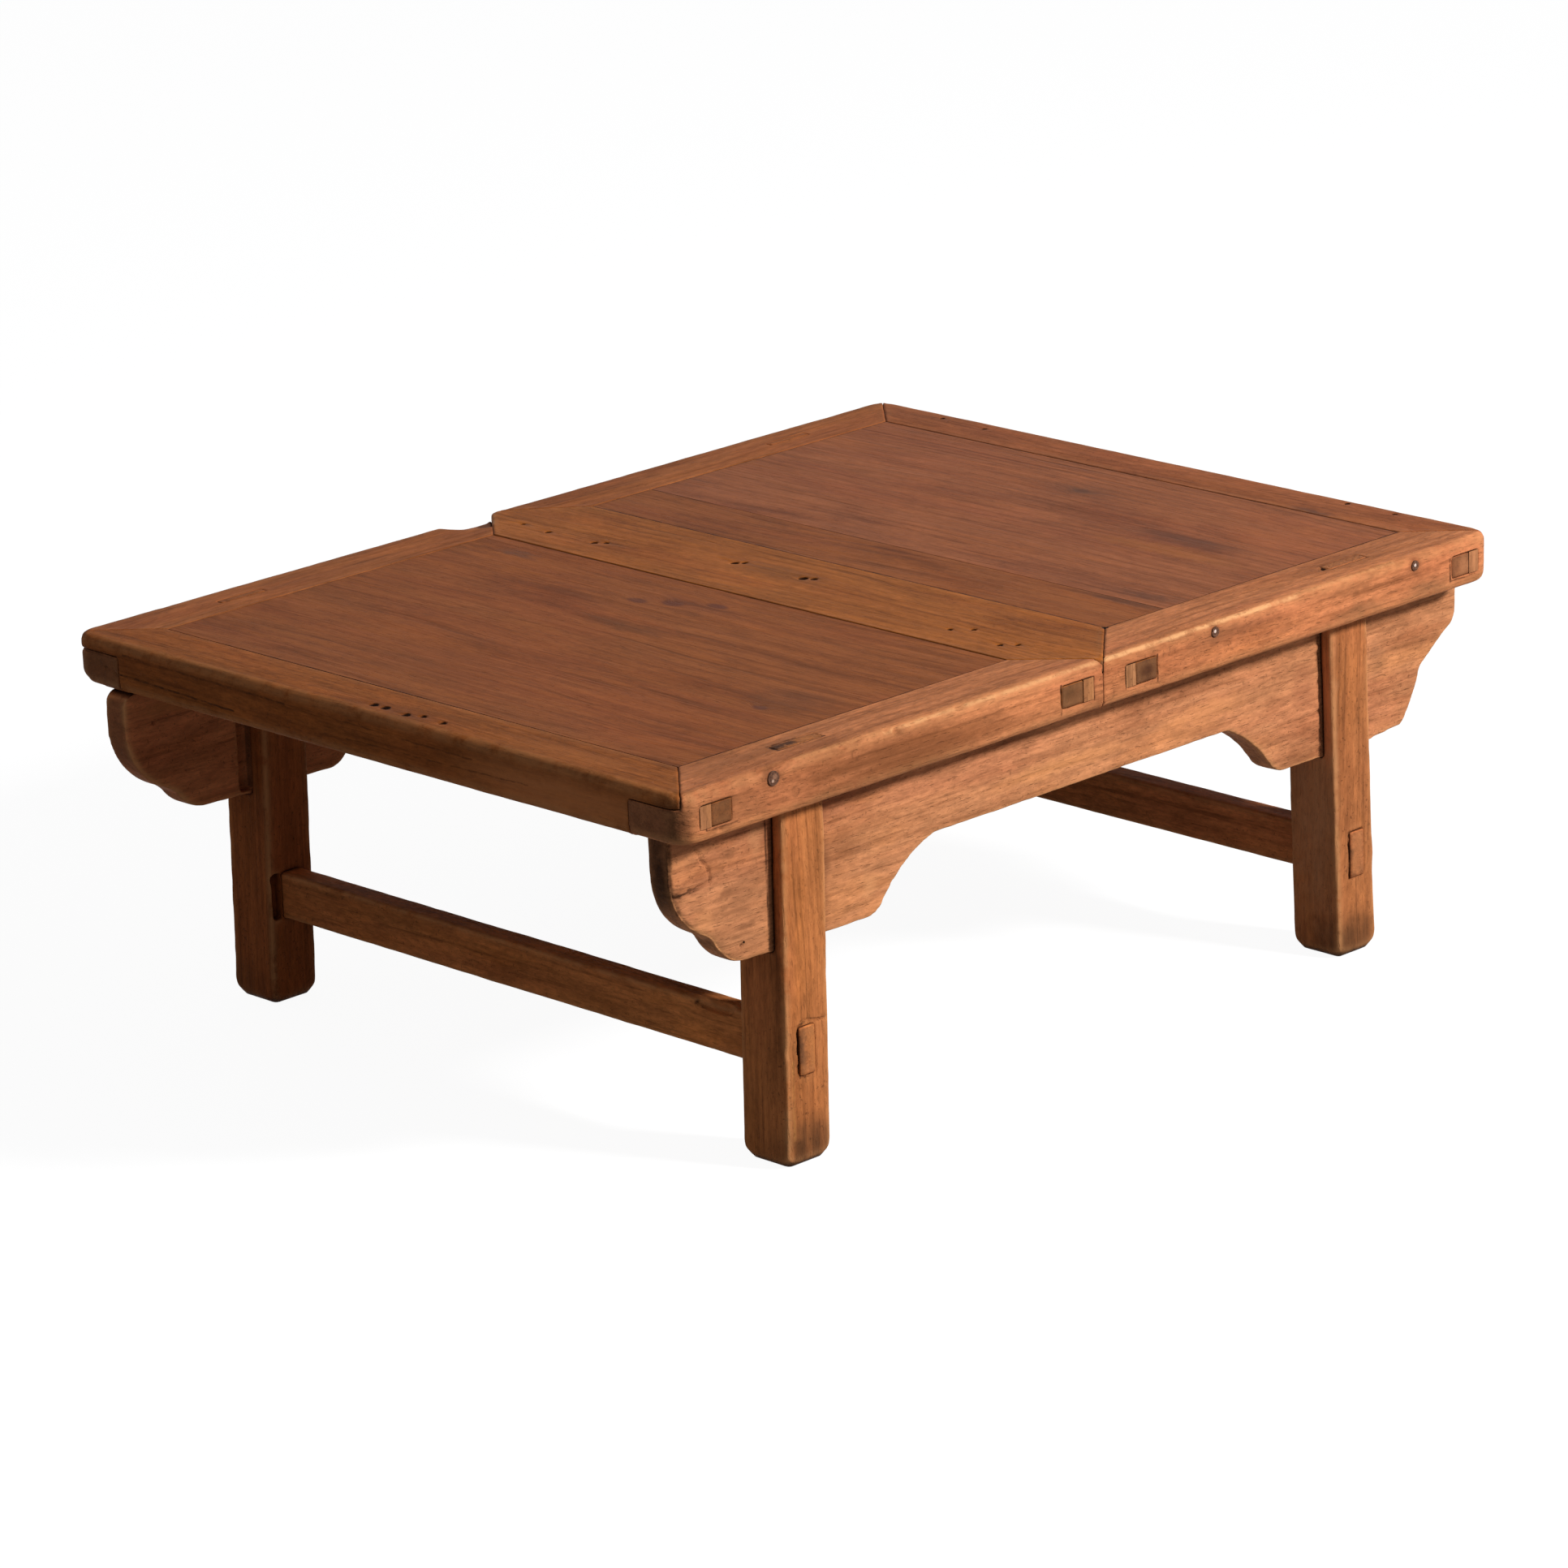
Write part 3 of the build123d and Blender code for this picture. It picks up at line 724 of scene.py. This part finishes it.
# ------------------------------ long rails
material = wood(
    "front_rail_left", "X", *RAIL, 41, pith=(-0.2, 0.1), ring=0.006,
    holes=(((-57, -340, 325), 2.2), ((-411, RAIL_Y, 292), 1.5)),
    rims=tuple(((x, RAIL_Y, z), 4.5) for x, z in ((-272, 315), (-335, 302), (-298, 292))),
    mottle=0.26, relief=0.0007,
    strokes=(
        # Lighter rubbed wood with a painted highlight along the top front arris.
        ((-240, -339, 324), (-12, -339, 324), 3, (228, 168, 114), 0.65),
        ((-241, -340.4, 324), (-234, -338, TOP_Z), 1.2, (78, 44, 28), 0.9),
        ((-234, -338, TOP_Z), (-226, RAIL_Y, 322), 1.3, (78, 44, 28), 0.9),
        ((-166, -340.5, 323.5), (-154, -339.5, 325), 1.1, (84, 48, 30), 0.8),
        # The same rubbed wood and painted highlight, softer, along the arris's left end; and a painted
        # highlight at the corner by the split.
        ((-330, -337, 325.2), (-240, -338, 324.6), 3, (214, 150, 98), 0.4),
        ((-10, RAIL_Y, 324), (-8, -300, TOP_Z), 1.8, (220, 158, 106), 0.5),
        ((-448.5, -340, 306), (-448, -340.5, 287), 3, (36, 20, 13), 0.95),
        *lines_on(RAIL_Y, (-424.6, 313, -425, 295, 1.3, (44, 24, 15), 0.85),
                  (-424, 314.4, -394, 314.2, 1, SEAM, 0.6),
                  (-424, 294.6, -394, 294.6, 1.2, SEAM, 0.7),
                  (-53.6, 315, -53.6, 292, 1.5, SEAM, 0.9),
                  (-53, 314.2, -18, 314.2, 1, GAP, 0.7),
                  (-17.4, 314, -17.4, 296, 1.2, (66, 38, 24), 0.7)),
        ((-325, -315.4, TOP_Z), (-279, -315.4, TOP_Z), 1.8, (62, 36, 25), 0.95),
        ((-325, -302.2, TOP_Z), (-296, -302.2, TOP_Z), 1.6, (76, 46, 32), 0.9),
        ((-325.8, -303.5, TOP_Z), (-325.8, LEG_Y, TOP_Z), 2.6, (50, 29, 20), 1.0),
    ),
    stains=(
        *spots_on(RAIL_Y, 10, (-235, 303, 140, 24, (122, 72, 43), 0.85),
                  (-390, 306, 40, 22, (140, 90, 58), 0.5)),
        ((-357, RAIL_Y, 318), (12, 8, 10), (104, 64, 42), 0.6),
        # Painted shade on the rail's left end at the near-left corner.
        ((END_X, -336, 298), (15, 16, 26), (58, 32, 22), 0.95),
        ((-350, -305, TOP_Z), (90, 30, 6), (130, 80, 48), 0.5),
        ((-200, RAIL_Y, 292), (60, 8, 9), (128, 78, 46), 0.5),
    ),
)
aged(
    "front_rail_left", material, "X", 41, wear=0.0009,
    dents=(((-228, RAIL_Y, 322), (5, 6, 4.5), 2.8), ((-236, -339, TOP_Z), (6, 5, 4), 1.6),
           ((-160, -340, 325), (9, 6, 5), 1.8), ((-60, RAIL_Y, 325), (3, 3, 3), 3),
           ((-118, RAIL_Y, 323), (7, 5, 5), 1.4), ((-388, RAIL_Y, 320), (8, 6, 6), 1.4),
           ((-300, RAIL_Y, 300), (3, 3, 2), 1), ((-411, RAIL_Y, 292), (3, 3, 2.5), 2)),
)
material = wood(
    "front_rail_right", "X", *RAIL, 46, pith=(-0.2, 0.12), ring=0.006,
    holes=(((278, -310, TOP_Z), 2.6), ((281, -309, TOP_Z), 2.2), CORNER_HOLE),
    mottle=0.26, relief=0.0007,
    strokes=(
        # Lighter rubbed wood with a painted highlight along the top front arris.
        ((-3, -339, 324), (215, -339, 324), 3.2, (232, 172, 118), 0.85),
        ((215, -338, 324.8), (330, -338, 324.8), 3, (220, 156, 104), 0.4),
        *lines_on(RAIL_Y, (397, 313, 396.6, 294, 1.6, (48, 28, 18), 0.9),
                  (398, 314.2, 427, 314, 1, (70, 42, 26), 0.6),
                  (398, 294.8, 427, 294.6, 1.2, GAP, 0.7),
                  (17.6, 313, 17.6, 295, 1.2, GAP, 0.7),
                  (53.4, 315, 53.4, 294, 1.4, (48, 28, 18), 0.8),
                  (18, 314.2, 53, 314.2, 0.9, GAP, 0.6)),
        ((282, -302.4, TOP_Z), (328, -302.4, TOP_Z), 1.4, (86, 52, 36), 0.75),
        ((282, -315.2, TOP_Z), (328, -315.2, TOP_Z), 1.4, (80, 50, 34), 0.75),
    ),
    stains=(
        *spots_on(RAIL_Y, 8, (119, 317, 10, 12, (112, 66, 42), 0.6), (354, 317, 10, 11, (112, 66, 42), 0.6),
                  (140, 314, 60, 8, (140, 88, 60), 0.4), (290, 296, 40, 9, (118, 84, 56), 0.5),
                  (372, 296, 30, 9, (112, 82, 56), 0.55)),
        ((330, -305, TOP_Z), (90, 30, 6), (132, 80, 50), 0.5),
    ),
)
aged(
    "front_rail_right", material, "X", 46, wear=0.0009,
    dents=(((200, RAIL_Y, 324), (12, 6, 5), 1.6), ((60, RAIL_Y, 324), (10, 6, 5), 1.4),
           ((279, -310, 327), (4, 3, 4), 3), ((300, RAIL_Y, 300), (4, 3, 2), 1.2)),
)


def corner_lip(points, normals):
    """The back-left corner: a lip on top, a notch under it, and a block rounded below."""
    x, y, z = points.T
    share = below(x, -0.425, 0.02) * above(y, 0.292, 0.012)
    notch = 0.0034 * np.exp(-(((z - 0.3135) / 0.0022) ** 2))
    rounded = 0.0035 * below(z, 0.297, 0.012) ** 1.5
    outward = np.clip(np.abs(normals[:, 0]) + np.abs(normals[:, 1]) - 0.3, 0, 1)
    return points - normals * (share * (notch + rounded) * outward)[:, None]


BACK_CRACK = ((END_X, 302, 304), (END_X, 292, 302), (END_X, 284, 298)), 1.6, 2
for index, (node, reshape, grooves) in enumerate((
    ("back_rail_left", corner_lip, (BACK_CRACK,)),
    ("back_rail_right", None, ()),
)):
    aged(
        node,
        wood(node, "X", *BACK_RAIL, 52.0 + index * 5.1, pith=(0.2, 0.1), ring=0.006),
        "X", 52 + index, reshape=reshape, grooves=grooves,
    )

# ------------------------------ end rails
# Worm holes in the left one, as x, y and radius, and holes in the right one, as x and y.
WORM = ((-434, 5, 4.2), (-434, -8, 4.4), (-436, -33, 4), (-431, -46, 3.4), (-433, -70, 3.4))
END_HOLES = ((435, 254), (431, 201), (438, -198), (437, -249))
material = wood(
    "end_rail_left", "Y", *LEFT_END, 61, pith=(-0.3, 0.1), ring=0.007,
    holes=tuple(((x, y, 325), radius) for x, y, radius in WORM),
    stains=(((-436, -25, TOP_Z), (12, 70, 8), (96, 56, 34), 0.5),
            ((-425, -200, TOP_Z), (20, 80, 8), (170, 104, 60), 0.35),
            # Painted light along the left side face, which the lamp doesn't reach, and painted shade on it
            # at the near-left corner.
            ((END_X, -215, 303), (8, 130, 20), (222, 142, 88), 0.6),
            ((END_X, -328, 302), (12, 26, 22), (60, 34, 24), 0.9)), mottle=0.26,
    strokes=(((END_X, 290, 301), (END_X, 150, 297), 1.3, (38, 20, 12), 0.8),
             ((-449, 280, 317), (-449.5, 90, 314), 1.6, (44, 24, 14), 0.7),
             ((-449, 90, 314), (END_X, -120, 311), 1.2, (44, 24, 14), 0.5),
             ((END_X, 20, 300), (END_X, -180, 303), 1.1, (44, 24, 14), 0.5)),
)
aged(
    "end_rail_left", material, "Y", 61, rounding=5, wear=0.0006,
    dents=tuple(((x, y, 326.5), (3.4, 5, 3), 3) for x, y, _ in WORM)
    + (((-448, 40, 324), (6, 26, 6), 0.9), ((-448, -120, 324), (6, 34, 6), 0.8)),
)
material = wood(
    "end_rail_right", "Y", *RIGHT_END, 66, pith=(0.4, 0.1), ring=0.007,
    holes=tuple(((x, y, 324.8), 2.7) for x, y in END_HOLES),
    stains=(((403, -190, TOP_Z), (7, 30, 8), (70, 50, 48), 0.6),
            ((414, RAIL_Y, 304), (10, 8, 10), (186, 124, 84), 0.6)),
)
aged(
    "end_rail_right", material, "Y", 66, rounding=5,
    dents=tuple(((x, y, TOP_Z), (2.6, 2.6, 2.6), 3) for x, y in END_HOLES),
)

# ------------------------------ aprons
CHEWED_X = 0.2815       # the front apron's edge by the right leg


def spandrel_face(points, normals):
    """The near-left spandrel is rough-sawn; the edge by the right leg is chewed."""
    x = points[:, 0]
    front = np.clip(-normals[:, 1] - 0.3, 0, 0.7) / 0.7
    texture = swell(points, (0.016, 0.006, 0.0032), 303) + 0.6 * swell(points, (0.006, 0.006, 0.0022), 304)
    moved = 0.0006 * below(x, -0.335, 0.03) * (texture + 1.2)
    bites = np.clip((swell(points, (0.1, 0.1, 0.004), 305) + 0.2), 0, 1)
    moved += 0.0016 * (np.exp(-(((x - CHEWED_X) / 0.003) ** 2)) * bites)
    return points + np.stack([0 * x, front * moved, 0 * x], axis=1)


material = wood(
    "front_apron", "X", *APRON, 71, pith=(-0.1, -0.2), ring=0.01, ring_share=0.2,
    red_share=0.4, grime_share=0.5, mottle=0.24, relief=0.0007,
    strokes=(
        # Painted shade: a dark line along the apron's top, under the overhanging rail.
        *lines_on(APRON_Y, (-428, 284, -331, 284, 3.4, (52, 30, 20), 0.9),
                  (-279, 284, 282, 284, 3, (58, 34, 22), 0.8)),
        # Painted shade: the front arris of the near-left spandrel darkened where it turns to the shaded left
        # side.
        ((-427, -302, 284), (-427, -302, 244), 4.6, (72, 42, 28), 0.9),
        ((-427, -302, 244), (-419, -302, 220), 4.4, (76, 44, 29), 0.9),
        ((-419, -302, 220), (-404, -302, 204), 3.2, (96, 58, 38), 0.75),
        ((-447, -299, 238), (-430, APRON_Y, 235), 3.4, (30, 17, 11), 0.95),
        *lines_on(APRON_Y, (-430, 235, -417, 233, 2.4, (36, 20, 13), 0.95),
                  (-417, 233, -386, 239, 1.4, SEAM, 0.85),
                  (-400, 266, -389, 250, 1.4, (64, 38, 24), 0.7),
                  (-389, 250, -386, 239, 1.4, (64, 38, 24), 0.7),
                  (-386, 239, -368, 246, 1.1, (80, 50, 32), 0.6),
                  (281.6, 284, 281.6, 172, 1.6, (60, 34, 22), 0.85),
                  (-330.6, 284, -330.6, 172, 1.6, (44, 26, 18), 0.8)),
    ),
    holes=(((-358, APRON_Y, 181.6), 1.8), ((-356, APRON_Y, 184), 1.3)),
    stains=(
        ((-420, -300, 236), (26, 12, 2.2), (40, 24, 16), 0.9),
        ((-395, APRON_Y, 210), (12, 6, 14), (222, 150, 96), 0.4),
        # Painted shade on the near-left spandrel's left side, which faces away from the lamp.
        ((-432, -300, 225), (9, 12, 34), (120, 76, 50), 0.6),
        ((-430, -291, 244), (11, 12, 52), (50, 29, 19), 0.95),
        *spots_on(APRON_Y, 6, (-400, 276, 40, 8, (150, 98, 66), 0.5),
                  (-360, 215, 18, 30, (164, 108, 74), 0.45), (-255, 230, 22, 30, (150, 92, 56), 0.45),
                  (-274, 222, 9, 56, (112, 70, 44), 0.6), (-340, 262, 8, 18, (216, 152, 104), 0.5),
                  (-372, 224, 14, 5, (112, 70, 46), 0.5), (-366, 256, 10, 4, (116, 74, 48), 0.45),
                  (-352, 196, 12, 4, (112, 70, 46), 0.5), (-225, 195, 12, 12, (228, 160, 108), 0.45),
                  (262, 232, 18, 26, (142, 84, 58), 0.5), (228, 225, 16, 10, (150, 92, 60), 0.45),
                  (352, 236, 10, 20, (138, 94, 66), 0.5), (-20, 236, 90, 8, (226, 152, 92), 0.4),
                  (150, 240, 60, 10, (220, 146, 90), 0.4)),
    ),
)
aged(
    "front_apron", material, "X", 71, rounding=4, wear=0.0007, keep=0.5, reshape=spandrel_face,
    soft=(((-425, -300, 230), 75, 26), ((-375, -300, 180), 50, 14), ((420, -300, 230), 70, 6)),
    grooves=(
        (((END_X, APRON_Y, 239), (-432, APRON_Y, 235), (-417, APRON_Y, 233), (-400, APRON_Y, 236),
          (-386, APRON_Y, 239)), 2.2, 4),
        (((-400, APRON_Y, 266), (-397, APRON_Y, 258), (-389, APRON_Y, 250), (-386, APRON_Y, 239)), 1.8, 2.2),
        (((-386, APRON_Y, 239), (-368, APRON_Y, 246)), 1.4, 1.2),
    ),
    dents=(((-358, APRON_Y, 182), (2.4, 4, 2), 3), ((-440, APRON_Y, 238), (9, 8, 4), 3)),
)


def blunt_corner(points, normals):
    """The upper corners of the back apron's ends, worn round."""
    corner_x, corner_z, radius = 0.4365, 0.2705, 0.0125
    moved = points.copy()
    for side in (-1, 1):
        off_x, off_z = side * points[:, 0] - corner_x, points[:, 2] - corner_z
        far = np.hypot(off_x, off_z)
        outside = (off_x > 0) & (off_z > 0) & (far > radius)
        pull = np.where(outside, radius / np.maximum(far, 1e-6), 1.0)
        moved[:, 0] = np.where(outside, side * (corner_x + off_x * pull), moved[:, 0])
        moved[:, 2] = np.where(outside, corner_z + off_z * pull, moved[:, 2])
    return moved


material = wood(
    "back_apron", "X", *BACK_APRON, 76, pith=(0.4, -0.1), ring=0.012,
    holes=(((-420.6, 282.5, 254.9), 2),),
    stains=(((-400, 283, 265), (40, 6, 8), (196, 128, 70), 0.4),),
)
aged(
    "back_apron", material, "X", 76, rounding=6, keep=0.4, reshape=blunt_corner,
    dents=(((-420.6, 282.5, 254.9), (2.6, 4, 2.2), 3),),
)

# ------------------------------ legs
SOOT, SOIL = (96, 62, 42), (44, 24, 15)
# Each leg's node, colours, grooves, dents, strokes, and what is painted on its side: shade on the near leg,
# light on the right one.
LEGS = (
    ("front_left_leg", NEAR_LEG,
     ((((-314.5, LEG_Y, 113), (-308, LEG_Y, 113.5), (-300, LEG_Y, 111.5), (-286, LEG_Y, 109)), 1.6, 2),
      (((-315.4, LEG_Y, 110), (-316.4, LEG_Y, 71)), 1.6, 4)),
     (((-322, -314, 14), (10, 10, 10), 1.2),
      ((-324, -312, 92), (5, 5, 8), 1.4)),
     (*lines_on(LEG_Y, (-314.2, 111, -315.2, 70, 1.6, SOIL, 0.95), (-314, 111, -306, 113.6, 1.5, SOIL, 0.95),
                (-306, 113.6, -284, 109.6, 1.3, SOIL, 0.9), (-314, 70, -306, 69, 1, SOIL, 0.6)),
      ((-322, -312, 84), (-323, -312, 24), 3.4, (216, 150, 84), 0.7),
      ((-302, -313.6, TOP_Z), (-280, -313.8, TOP_Z), 1.3, SOOT, 0.6),
      ((-322, -308.4, TOP_Z), (-306, -309.2, TOP_Z), 8, (74, 46, 32), 1.0)),
     # Painted shade on the near leg's left side.
     (((-327, -306, 160), (8, 7, 110), (66, 36, 20), 0.6),)),
    ("front_right_leg", RIGHT_LEG,
     ((((302, LEG_Y, 104), (303, LEG_Y, 66)), 1.6, 3),),
     (((324, LEG_Y, 18), (7, 4, 12), 1),),
     lines_on(LEG_Y, (301.2, 104, 301.6, 66, 1.4, SOIL, 0.9), (302, 105, 317, 105, 0.9, SOIL, 0.5),
              (302, 65, 317, 65, 0.9, SOIL, 0.6), (317.6, 104, 318, 66, 0.9, SOIL, 0.5)),
     # Painted light on the right leg's left side, which faces away from the lamp.
     (((284, -292, 150), (8, 40, 170), (216, 152, 108), 0.55),)),
    ("back_left_leg", BACK_LEFT_LEG, (), (), (), ()),
    ("back_right_leg", BACK_RIGHT_LEG, (), (), (), ()),
)


def footed(points, normals):
    """The foot draws in towards the floor, and its corners lift from it."""
    z = points[:, 2]
    low = z < 0.04
    centre = (points[low, :2].min(0) + points[low, :2].max(0)) / 2
    half = (points[low, :2].max(0) - points[low, :2].min(0)) / 2
    corner = np.clip((np.abs(points[:, :2] - centre) / half).sum(1) - 1.5, 0, 0.5) / 0.5
    share = 1 - 0.07 * below(z, 0.010, 0.010) ** 2 - 0.08 * corner * below(z, 0.016, 0.016) ** 1.5
    moved = points.copy()
    moved[:, :2] = centre + (points[:, :2] - centre) * np.where(low, share, 1)[:, None]
    moved[:, 2] += 0.0034 * corner * below(z, 0.014, 0.014)
    return moved


for index, (node, colours, grooves, dents, strokes, painted_side) in enumerate(LEGS):
    x_side = -1 if "left" in node else 1
    y_side = -1 if "front" in node else 1
    foot_stain = (x_side * 306, y_side * 314, 12), (40, 40, 30), (84, 54, 34), 0.9
    aged(
        node,
        wood(node, "Z", *colours, 81.0 + index * 5.1, pith=(x_side * 0.2, -0.2), ring=0.005,
             ring_share=0.35, speck_share=0.55, end_share=0.25, relief=0.0006, strokes=strokes,
             stains=(foot_stain, *painted_side)),
        "Z", 81 + index, rounding=3, grooves=grooves, dents=dents, reshape=footed,
    )


# ------------------------------ stretchers
def flush(points, normals):
    """The tenon's front end, nearly level with the leg."""
    moved = points.copy()
    moved[:, 1] -= 0.0011 * below(points[:, 1], -0.308, 0.003)
    return moved


def scooped(points, normals):
    """A hollow in the left stretcher's outer top arris beside the front leg."""
    points = flush(points, normals)
    x, y, z = points.T
    far = ((y + 0.228) / 0.022) ** 2, ((z - 0.1075) / 0.006) ** 2, ((x + 0.3166) / 0.009) ** 2
    hollow = np.clip(1 - far[0] - far[1] - far[2], 0, 1)
    return points - np.stack([-0.005 * hollow, 0 * y, 0.0035 * hollow], axis=1)


TENON_STAINS = (
    ((-312.5, -315, 90), (4.5, 6, 24), (106, 70, 48), 0.85),
    ((-302, -315, 90), (5, 6, 24), (190, 118, 66), 0.8),
    ((303, -315, 86), (3, 6, 24), (110, 72, 48), 0.7),
    ((311, -315, 86), (6, 6, 22), (176, 112, 70), 0.75),
)
# Painted shade: a near-black line in the hollow of the left stretcher's top arris; and a lighter band along
# the top beside it.
HOLLOW_SHADE_STROKES = (
    ((-317, -243, 106), (-317, -208, 105.4), 4.4, (30, 15, 10), 1.0),
    ((-311, -262, 108.6), (-311, -196, 108.4), 3.4, (222, 150, 96), 0.6),
)
for index, (node, colours, reshape) in enumerate((
    ("left_stretcher", LEFT_STRETCHER, scooped),
    ("right_stretcher", RIGHT_STRETCHER, flush),
)):
    aged(
        node,
        wood(node, "Y", *colours, 101.0 + index * 5.1, pith=(0.1, 0.0), ring=0.005, end_share=0.45,
             dark_share=0.6, mottle=0.28, strokes=HOLLOW_SHADE_STROKES, stains=TENON_STAINS),
        "Y", 101 + index, rounding=4, wear=0.0004, relief=0.0001, reshape=reshape,
    )

# ------------------------------ wedges and nails
dress("tenon_wedges", wood("wedges", "Z", *WEDGES, 111, relief=0.0003))
# Painted highlights on the nail heads; the second is a wider brown one beside the first.
dress("nails", iron((
    ((-358, -341.6, 315.8), 1.2, (196, 160, 138)),
    ((-355.8, -341.6, 318.6), 2.2, (140, 98, 74)),
    ((118.4, -341.6, 318.2), 1.3, (240, 216, 202)),
    ((353.8, -341.6, 318.0), 1.3, (232, 208, 194)),
)))


# ------------------------------ stage
FLOOR_HALF = 12
CAMERA_LENS = 163.577
# The camera fitted to the photograph: its sideways, upward and backward ways, and its place, in metres.
CAMERA_RIGHT = 0.709281, -0.704009, -0.035939
CAMERA_UP = 0.236043, 0.189153, 0.953155
CAMERA_BACK = -0.664232, -0.684538, 0.300339
CAMERA_PLACE = -3.76319, -3.86219, 1.85556


def pale(name, seen, strength, elsewhere):
    """A surface that the camera sees as nearly white and that lights the object as a grey one."""
    graph = Graph(bpy.data.materials.new(name))
    shown = graph.seen()
    matt = graph.node("BsdfDiffuse", {"Color": graph.mix(shown, grey(elsewhere), grey(seen))})
    glow = graph.node("Emission", {"Strength": graph.times(shown, strength)})
    both = graph.node("AddShader", {0: matt.outputs[0], 1: glow.outputs[0]})
    graph.node("OutputMaterial", {"Surface": both.outputs[0]})
    return graph.owner


def studio():
    """A world that lights the object dimly and is white to the camera."""
    graph = Graph(bpy.data.worlds.new("studio"))
    ambient = graph.node("Background", {"Color": (1.0, 1.0, 1.04), "Strength": 0.2})
    white = graph.node("Background", {"Color": grey(1.0), "Strength": 1.0})
    both = graph.node("MixShader", {0: graph.seen(), 1: ambient.outputs[0], 2: white.outputs[0]})
    graph.node("OutputWorld", {"Surface": both.outputs[0]})
    return graph.owner


def lamp(name, direction, distance, size, level):
    """A square soft light that gives a facing surface the brightness level of its own colour."""
    data = bpy.data.lights.new(name, "AREA")
    data.size = size
    data.energy = level * math.pi ** 2 * distance ** 2
    made = add(name, data)
    way = Vector(direction).normalized()
    made.location = Vector((0, 0, 0.2)) + way * distance
    made.rotation_euler = way.to_track_quat("Z", "Y").to_euler()


floor_mesh = bpy.data.meshes.new("floor")
corners = [(x * FLOOR_HALF, y * FLOOR_HALF, 0) for x, y in ((-1, -1), (1, -1), (1, 1), (-1, 1))]
floor_mesh.from_pydata(corners, [], [(0, 1, 2, 3)])
floor = add("floor", floor_mesh)
floor_mesh.materials.append(pale("floor_pale", 0.15, 0.94, 0.30))
bpy.context.scene.world = studio()
lamp("key", (0.30, -0.80, 0.50), 4.5, 0.55, 1.04)

# ------------------------------ camera
camera_data = bpy.data.cameras.new("camera")
camera_data.sensor_width = 36.0
camera_data.lens = CAMERA_LENS
camera_data.clip_end = 60.0
camera = add("camera", camera_data)
camera.matrix_world = Matrix((*zip(CAMERA_RIGHT, CAMERA_UP, CAMERA_BACK, CAMERA_PLACE), (0, 0, 0, 1)))
bpy.context.scene.camera = camera
bpy.context.scene.view_settings.view_transform = "Standard"
